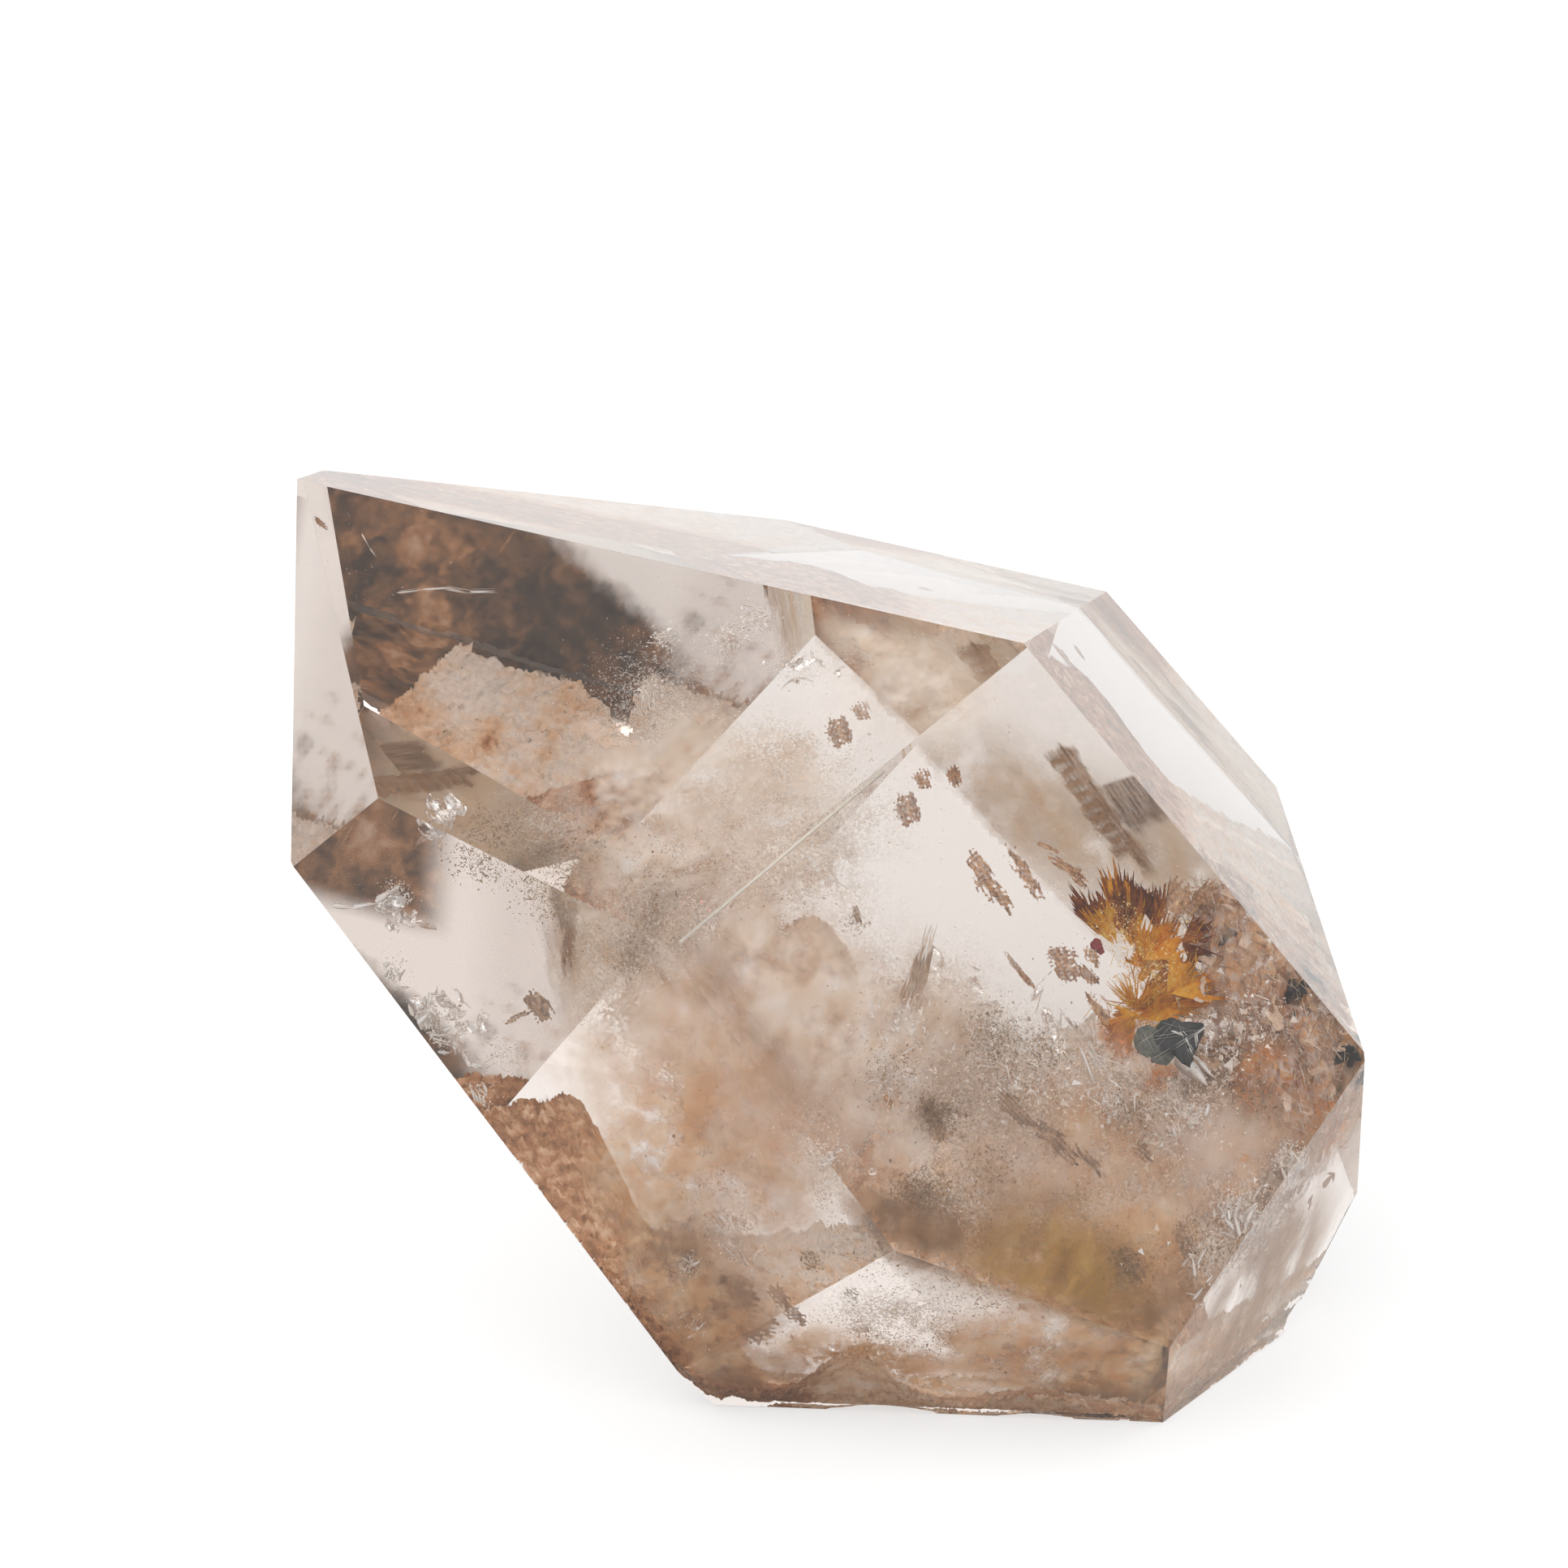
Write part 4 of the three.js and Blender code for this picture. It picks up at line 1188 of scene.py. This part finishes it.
        # Brown fog
        smoke = veil("smoky clay haze, grown", (
            "E4C4A4", "BC9470", "906A46", "644830"), wisp=3.4, opens=0.43, soft=0.14, cover=0.7)
        strip = [
            ((-10.9, -39.4, 37.4), (2, 3, 2), 0.6), ((-8.2, -40.0, 33.6), (1.8, 3, 2), 0.5),
            ((-5.6, -40.8, 30.0), (1.8, 3, 2), 0.4), ((0.7, -41.9, 21.7), (2.2, 3, 2), 0.6),
            ((3.2, -42.8, 18.6), (3.2, 3, 2.2), 1.7), ((6, -42.5, 17.6), (2.8, 3, 2.4), 1.2),
            ((10, -41.5, 18), (5, 3, 4), 0.15), ((24, -39, 9.6), (5, 3, 3), 0.9)]
        low = [((-8, -37, 9), (5, 4, 4), 1.0), (
            (-12, -35.5, 15), (4, 4, 5), 0.7), ((-14, -34, 20), (4, 4, 4), 0.3)]
        foot = [((-7, -35.5, 4.5), (5, 4, 2.2), 1.3), ((22, -37, 3), (5, 3, 2.0), 0.5)]
        haze("smoky_haze", smoke, "smoky_flakes", (FRONT_SLOPE, (1.4, 2.4, 3.6), strip, 0.5, 92),
             (LEFT_FACET, (1.6, 3.2), low, 0.6, 102), (FOOT_BEVEL, (1.4, 2.6), foot, 0.5, 112))
        # A dull golden fog low behind the front
        honey = veil(
            "honey-coloured clay haze, grown", ("E0BA6C", "B88C42", "886428"), wisp=3.6, opens=0.42,
            soft=0.16, cover=0.6)
        balls = [
            ((13.5, -41.5, 13.7), (5, 4, 3.6), 1.0), ((18.7, -40.7, 11.4), (5, 4, 3.4), 0.9),
            ((16, -40, 15.5), (6, 3, 3.4), 0.8)]
        low = [((15, -38, 6.0), (6, 3, 2.6), 0.6), ((20, -40, 9.0), (5, 3, 2.6), 0.8)]
        haze("honey_haze", honey, "rutile_and_limonite", (FRONT_SLOPE, (1.6, 3.2), balls, 0.5, 93),
             (FOOT_BEVEL, (1.6, 2.8), low, 0.5, 103))
        # Yellow patches with ragged edges, over the foot
        lace = veil(
            "ochre clay lace, grown", ("F4DCA8", "E2B468", "C08C40"), wisp=1.1, opens=0.47, soft=0.06,
            cover=0.97)
        arch = [
            ((0.4, -36.4, 6.6), (1.6, 1.5, 1.0), 1.2), ((3.0, -36.4, 6.8), (1.8, 1.5, 1.1), 1.3),
            ((5.6, -36, 5.2), (1.6, 1.5, 1.3), 1.3), ((7.4, -35.5, 3.6), (1.4, 1.5, 1.0), 1.0),
            ((-1.6, -35.5, 5.0), (1.3, 1.5, 1.4), 1.1), ((-3, -34.5, 3.2), (1.6, 1.5, 0.7), 0.9),
            ((-6.5, -33.5, 2.2), (3, 1.5, 0.5), 0.8), ((10, -34.8, 2.6), (2, 1.5, 0.5), 0.8),
            ((18.6, -36, 3.4), (0.9, 1.5, 1.3), 0.8)]
        haze("ochre_lace", lace, "rutile_and_limonite", (FOOT_BEVEL, (3.6, 4.2), arch, 0.4, 122, 0.8))
        # A cream-white ground under the back facet
        cream = veil(
            "limonite bloom, grown", ("FFFFFF", "FFF6E4", "F8E0BC"), wisp=6.0, opens=0.42, soft=0.2,
            cover=0.78)
        balls = [
            ((6, 44, 25), (9, 3, 6), 1.1), ((14, 42, 18), (7, 3, 7), 1.0), ((24, 40, 18), (6, 3, 8), 1.0)]
        haze("cream_bloom", cream, "milky_veil", (BACK_FACET, (0.8, 1.6), balls, 0.3, 94, 3.0))
        # Thin pinkish brown sheets in the right foot
        thin = veil(
            "thin healed veils, grown", ("F4E0CC", "E2C2A4", "C8A07C", "DAB692"), wisp=5.0, opens=0.43,
            soft=0.14, cover=0.8, stretch=(1.0, 1.0, 0.45), turn=(0.0, 0.7, 0.0))
        foot = [
            ((33, -31, 7.5), (6, 6, 4.5), 2.2), ((38, -26, 8), (6, 6, 5), 1.8),
            ((37, -29, 18), (5, 6, 6), 0.3)]
        haze("right_films", thin, "milky_veil", (RIGHT_FOOT, (1.5, 2.8), foot, 0.5, 152))
        # Faint silvery points that let light through
        silver = mineral(
            "gas bubbles and dust, grown", ("FFFFFF", "F4ECE4"), grain=1.0, roughness=0.4, through=0.6)
        balls = [
            ((-15.2, -19, 54.0), (3.2, 3, 3.4), 6), ((-13.8, -19.4, 50.0), (2.5, 3, 2.5), 4),
            ((-22.7, -28.6, 45.6), (2.6, 2, 1.6), 2), ((-3, -12, 53), (2, 2, 1.2), 1),
            ((3, -13, 55), (1.6, 2, 1.2), 1), ((0, -5, 40), (22, 16, 14), 2), ((20, -14, 38), (6, 4, 5), 1)]
        points = cloud(rng, 12000, balls, 2, 90, rough=0.9)
        mesh_piece("silver_dust", grains(rng, points, 0.15), silver)
        return {"FINISHED"}


class QUARTZ_OT_fractures(bpy.types.Operator):
    """Healed fractures, clear columns and silvery blades"""
    bl_idname = "quartz.fractures"
    bl_label = "Fractures and columns"

    def execute(self, context):
        rng = np.random.default_rng(95)
        # Silvery mirrors that flash where they face a soft box
        mirror = mineral(
            "air-filled crack in quartz", ("FFFFFF", "E8E4E0"), grain=0.8, roughness=0.06, metallic=1.0,
            relief=0.06, cover=0.7, holes=0.25)
        balls = [
            ((16, -24, 25), (6, 3, 4), 3), ((25, -25, 20), (6, 3, 4), 4), ((30, -25, 16), (5, 3, 4), 3),
            ((8, -21, 31), (2.5, 2, 2), 2), ((-31, -31, 31), (2, 0.8, 4), 2),
            ((-31.4, -31.4, 48.2), (1.6, 0.6, 0.8), 1), ((-34, -30, 40.5), (1.5, 0.6, 1.2), 1),
            ((-2, -12, 53), (6, 3, 1.5), 1), ((-6, -30, 14), (5, 4, 4), 1)]
        count = 150
        points = cloud(rng, count, balls, 3, 96, margin=0.8)
        facing = rng.normal(size=(count, 3)) + 0.5 * OUT
        cracks = plates(rng, points, facing, rng.uniform(0.25, 1.1, count), 0.03, 0.6, dish=0.5, stretch=1.35)
        mesh_piece("fractures", inside_only(cracks, PLATE_POINTS), mirror)
        points = cloud(rng, 260, balls[:3], 3, 97)
        slivers = blades(rng, points, unit(-0.45 * RIGHT + UP), 0.45, 2.2, 0.22, flat=0.12)
        mesh_piece("silver_slivers", inside_only(slivers, BLADE_POINTS), mirror)
        # Pale ribs with brown shade between them
        column = mineral("columnar rutile ghost, grown", (
            "FFFFFF", "F0DECC", "BC9674", "7C5E44"), grain=0.5, roughness=0.3, mottle=0.25)
        axis, middle = unit((2.5, 4.3, 7.6)), np.array((5.9, -34.4, 35.3))
        ribs = []
        for along, reach, count, shades in (
            (3.4, 0.35, 10, (0.0, 0.2)), (1.2, 0.5, 26, (0.6, 1.0)), (-0.6, 0.5, 20, (0.5, 0.9)),
            (-2.8, 0.6, 22, (0.0, 0.35))):
            roots = middle + (along - 1.1) * axis + RIGHT * rng.normal(0, reach, (count, 1))
            roots = roots + axis * rng.normal(0, 0.5, (count, 1))
            ribs.append(blades(rng, roots, axis, 0.04, 2.6, 0.32, flat=0.4, bend=0.01, tone=shades))
        mesh_piece("columns", inside_only(joined(*ribs), BLADE_POINTS), column)
        return {"FINISHED"}


class QUARTZ_OT_details(bpy.types.Operator):
    """Small bright and dark marks: knots, threads, shards, sparkles and a painted highlight along the front
    edge
    """
    bl_idname = "quartz.details"
    bl_label = "Small marks"

    def execute(self, context):
        rng = np.random.default_rng(131)
        away = unit((0.3, 0.3, 0.9))
        # Overexposed white knots and threads
        white = mineral(
            "white flakes and threads, grown", ("FFFFFF", "FFF6EE", "E6D6C8"), grain=0.5, roughness=0.35,
            mottle=0.4)
        # Middle, reach, direction, stray, number, length and width of each knot
        bright = (
            ((-5.6, -33.5, 39.8), 0.5, RIGHT, 0.8, 30, 1.2, 0.28),
            ((-10.7, -35.2, 40.5), 0.5, away, 0.9, 18, 0.9, 0.22),
            ((-2.4, -31.0, 42.4), 0.7, RIGHT - UP, 0.3, 14, 1.6, 0.16),
            ((31.7, -34.8, 16.7), 0.9, away, 0.8, 60, 1.8, 0.5),
            ((36.5, -31.6, 19.6), 0.6, away, 0.8, 30, 1.4, 0.4),
            ((20.6, -33.3, 28.4), 0.4, RIGHT - 1.2 * UP, 0.35, 12, 3.0, 0.2),
            ((21.7, -34.3, 25.5), 0.8, RIGHT - UP, 0.6, 26, 1.4, 0.25),
            ((28.3, -32.6, 23.8), 0.7, away, 0.8, 30, 1.3, 0.35),
            ((28.7, -37.4, 13.6), 1.0, away, 0.7, 30, 1.6, 0.3),
            ((9.3, -41.7, 20.0), 1.2, away, 0.9, 16, 0.9, 0.1),
            ((3.7, -39.2, 29.5), 1.2, RIGHT, 0.5, 24, 1.6, 0.14),
            ((12.1, -35.3, 31.0), 1.2, RIGHT, 0.7, 30, 1.5, 0.14),
            ((-15.1, -20.4, 54.9), 0.35, UP, 0.1, 10, 3.4, 0.12),
            ((-14.4, -24.6, 51.2), 0.4, UP - 0.5 * RIGHT, 0.3, 10, 1.8, 0.3),
            ((-11.4, -37.6, 13.6), 0.4, away, 0.8, 12, 0.9, 0.25),
            ((-7.7, -39.3, 15.4), 0.3, away - RIGHT, 0.3, 6, 2.2, 0.3),
            ((-10.8, -36.8, 8.0), 0.5, RIGHT + 0.6 * UP, 0.4, 10, 1.6, 0.3),
            ((-0.8, -43.4, 24.6), 0.35, away, 0.8, 12, 0.8, 0.25),
            ((-9.3, -39.0, 17.6), 0.5, UP - RIGHT, 0.3, 8, 1.8, 0.3),
            ((-35.0, -29.0, 35.4), 0.5, away, 0.6, 10, 1.4, 0.4),
            ((-32.8, -29.9, 31.6), 0.8, away, 0.8, 26, 1.4, 0.45),
            ((-31.4, -29.8, 29.9), 0.8, RIGHT, 0.4, 14, 1.6, 0.3),
            ((-28.2, -30.4, 25.4), 0.4, UP, 0.5, 10, 1.2, 0.3),
            ((-26.0, -32.0, 29.2), 0.8, RIGHT, 0.6, 14, 1.1, 0.12),
            ((-34.5, -30.0, 42.2), 0.4, away, 0.8, 18, 1.0, 0.3),
            ((-6.6, -16.0, 59.8), 0.8, RIGHT, 0.6, 20, 1.0, 0.15),
            ((-8.8, -17.2, 58.2), 0.7, RIGHT - UP, 0.5, 18, 1.2, 0.15),
            ((-13.9, -17.4, 58.6), 0.4, RIGHT, 0.4, 12, 1.3, 0.15),
            ((2.0, -37.6, 9.4), 0.4, away, 0.9, 10, 0.9, 0.2),
            ((9.4, -38.4, 8.6), 0.6, away, 0.9, 14, 0.7, 0.12),
            ((-2.4, -36.4, 7.2), 0.5, RIGHT - 0.5 * UP, 0.3, 12, 1.6, 0.3))
        around = [
            (middle, np.full(3, 0.7 + 0.8 * reach), number) for middle, reach, _, _, number, _, _ in bright]
        specks = grains(rng, cloud(rng, 9000, around, 1.2, 133, rough=0.8), 0.2)
        mesh_piece("white_flakes", tufts(rng, bright), white)
        mesh_piece("white_grains", specks, white)
        line = ((-35.6, -17.6, 63.2), (-33.6, -17.6, 63.5), (-31.7, -17.6, 63.7), (-29.8, -17.8, 63.4),
                (-28.0, -17.7, 63.4))
        streak = thread(rng, line, 0.1, 5, 0.12)
        nick = thread(rng, ((-38.9, -13.6, 67.2), (-38.2, -14.6, 66.4), (-37.6, -15.2, 65.8)), 0.1, 2, 0.05)
        tube = thread(rng, (
            (-40.0, -27.5, 40.4), (-38.3, -29.0, 40.6), (-36.4, -30.0, 41.2),
            (-35.0, -30.6, 42.2)), 0.5, 3, 0.12)
        threads = inside_only(joined(streak, nick, tube), BLADE_POINTS, 0.02)
        mesh_piece("white_threads", threads, white)
        # A chalky white rod along the front edge: a painted highlight of the polished arris
        arris_highlight = mineral(
            "painted highlight on the polished arris", ("FFF8EC", "F4E8D8"), grain=0.6, roughness=0.5, mottle=0.5)
        mesh_piece("painted_arris_highlight", rod((-12.3, -41.85, 41.3), (3.6, -30.6, 52.0), 0.24), arris_highlight)
        # Matt brown crumbs beside the bright marks
        dark = mineral(
            "dark clay flecks, grown", ("CCAE8C", "A08464", "78604A"), grain=0.5, roughness=0.6, mottle=0.4,
            cover=0.85)
        dim = (
            ((6.2, -42.4, 20.6), 1.1, RIGHT, 0.9, 170, 0.8, 0.3),
            ((3.7, -39.0, 29.5), 1.4, RIGHT - 0.4 * UP, 0.6, 50, 0.7, 0.12),
            ((12.1, -34.9, 31.3), 1.3, RIGHT, 0.7, 110, 0.8, 0.16),
            ((7.4, -39.2, 26.3), 0.9, away, 0.9, 120, 0.7, 0.16),
            ((11.5, -39.7, 21.9), 1.3, RIGHT, 0.9, 60, 0.7, 0.18),
            ((-13.8, -33.0, 41.4), 1.4, RIGHT + 0.4 * UP, 0.5, 110, 0.9, 0.18),
            ((-20.6, -32.4, 43.9), 1.6, RIGHT + 0.5 * UP, 0.4, 160, 1.1, 0.18),
            ((-14.6, -34.4, 38.6), 0.8, UP, 0.5, 50, 0.9, 0.2),
            ((-9.0, -36.0, 25.0), 1.0, away, 0.9, 90, 0.8, 0.2),
            ((-10.2, -35.4, 27.0), 0.9, RIGHT, 0.6, 40, 0.8, 0.2),
            ((23.5, -33.9, 24.4), 1.2, RIGHT - UP, 0.8, 60, 0.7, 0.2),
            ((16.2, -34.2, 29.6), 0.9, RIGHT - UP, 0.4, 40, 1.0, 0.2),
            ((0.8, -31.4, 39.3), 0.3, UP, 0.4, 10, 0.8, 0.2),
            ((-1.6, -41.8, 15.6), 0.25, RIGHT - 0.4 * UP, 0.15, 16, 2.4, 0.25),
            ((1.4, -41.0, 13.2), 0.2, RIGHT - 1.2 * UP, 0.15, 12, 2.4, 0.2),
            ((29.3, -36.5, 14.6), 1.6, UP, 0.7, 60, 1.0, 0.2),
            ((22.8, -39.5, 13.5), 1.6, RIGHT - 0.5 * UP, 0.7, 80, 1.0, 0.2),
            ((-27.2, -29.6, 45.6), 1.1, away, 0.9, 60, 0.8, 0.14),
            ((23.2, -35.0, 0.9), 0.35, RIGHT, 0.4, 14, 1.2, 0.3),
            ((33.8, -29.8, 24.7), 0.8, away, 0.9, 50, 0.9, 0.25))
        around = [(middle, np.array((1.5, 1.0, 1.2)) * (0.4 + reach), number)
                  for middle, reach, _, _, number, _, _ in dim]
        crumbs = cloud(rng, 15000, around, 1.0, 134, rough=0.9)
        fewer = [(*spot, number // 3, 0.7 * length, 0.6 * width) for *spot, number, length, width in dim]
        mesh_piece("dark_flecks", tufts(rng, fewer, 0.2), dark)
        mesh_piece("dark_grains", grains(rng, crumbs, 0.2), dark)
        # Points in rainbow colours
        sparkle = mineral("iridescent films, grown", (
            "FFD870", "FFF4D0", "FFB4B8", "FFFFFF", "B8F0D0", "C0D0FF"), grain=0.3, roughness=0.3, mottle=0.7)
        balls = [
            ((-4.0, -37.6, 29.0), (1.6, 0.8, 1.4), 3), ((-11.2, -36.8, 42.0), (2.2, 0.8, 1.6), 2),
            ((0.4, -37.0, 25.8), (2, 1, 1), 1), ((-7.6, -30.0, 45.4), (1.4, 1, 0.8), 1),
            ((9.4, -38.6, 8.8), (0.9, 0.5, 0.9), 2), ((9.2, -39.6, 16.8), (0.3, 0.5, 1.2), 1)]
        mesh_piece("sparkles", grains(rng, cloud(rng, 260, balls, 3, 132), 0.24), sparkle)
        return {"FINISHED"}


class QUARTZ_PT_panel(bpy.types.Panel):
    bl_label = "Quartz point"
    bl_idname = "QUARTZ_PT_panel"
    bl_space_type = "VIEW_3D"
    bl_region_type = "UI"
    bl_category = "Quartz"

    def draw(self, context):
        scene = context.scene
        for settings in (scene.quartz_stone, scene.quartz_veils, scene.quartz_stage):
            for name in settings.bl_rna.properties.keys():
                if name not in ("rna_type", "name"):
                    self.layout.prop(settings, name)
        for operator in OPERATORS:
            self.layout.operator(operator.bl_idname)


OPERATORS = (
    QUARTZ_OT_stage, QUARTZ_OT_stone, QUARTZ_OT_crust, QUARTZ_OT_foot, QUARTZ_OT_spray, QUARTZ_OT_hematite,
    QUARTZ_OT_mass, QUARTZ_OT_flakes, QUARTZ_OT_veils, QUARTZ_OT_fractures, QUARTZ_OT_details)
CLASSES = (StoneSettings, VeilSettings, StageSettings, *OPERATORS, QUARTZ_PT_panel)


def register():
    for item in CLASSES:
        bpy.utils.register_class(item)
    bpy.types.Scene.quartz_stone = PointerProperty(type=StoneSettings)
    bpy.types.Scene.quartz_veils = PointerProperty(type=VeilSettings)
    bpy.types.Scene.quartz_stage = PointerProperty(type=StageSettings)


def unregister():
    del bpy.types.Scene.quartz_stage
    del bpy.types.Scene.quartz_veils
    del bpy.types.Scene.quartz_stone
    for item in reversed(CLASSES):
        bpy.utils.unregister_class(item)


def main():
    register()
    bpy.ops.quartz.stage()
    bpy.ops.quartz.stone()
    bpy.ops.quartz.crust()
    bpy.ops.quartz.foot_stain()
    bpy.ops.quartz.spray()
    bpy.ops.quartz.hematite()
    bpy.ops.quartz.mass()
    bpy.ops.quartz.flakes()
    bpy.ops.quartz.veils()
    bpy.ops.quartz.fractures()
    bpy.ops.quartz.details()


if __name__ == "__main__":
    main()
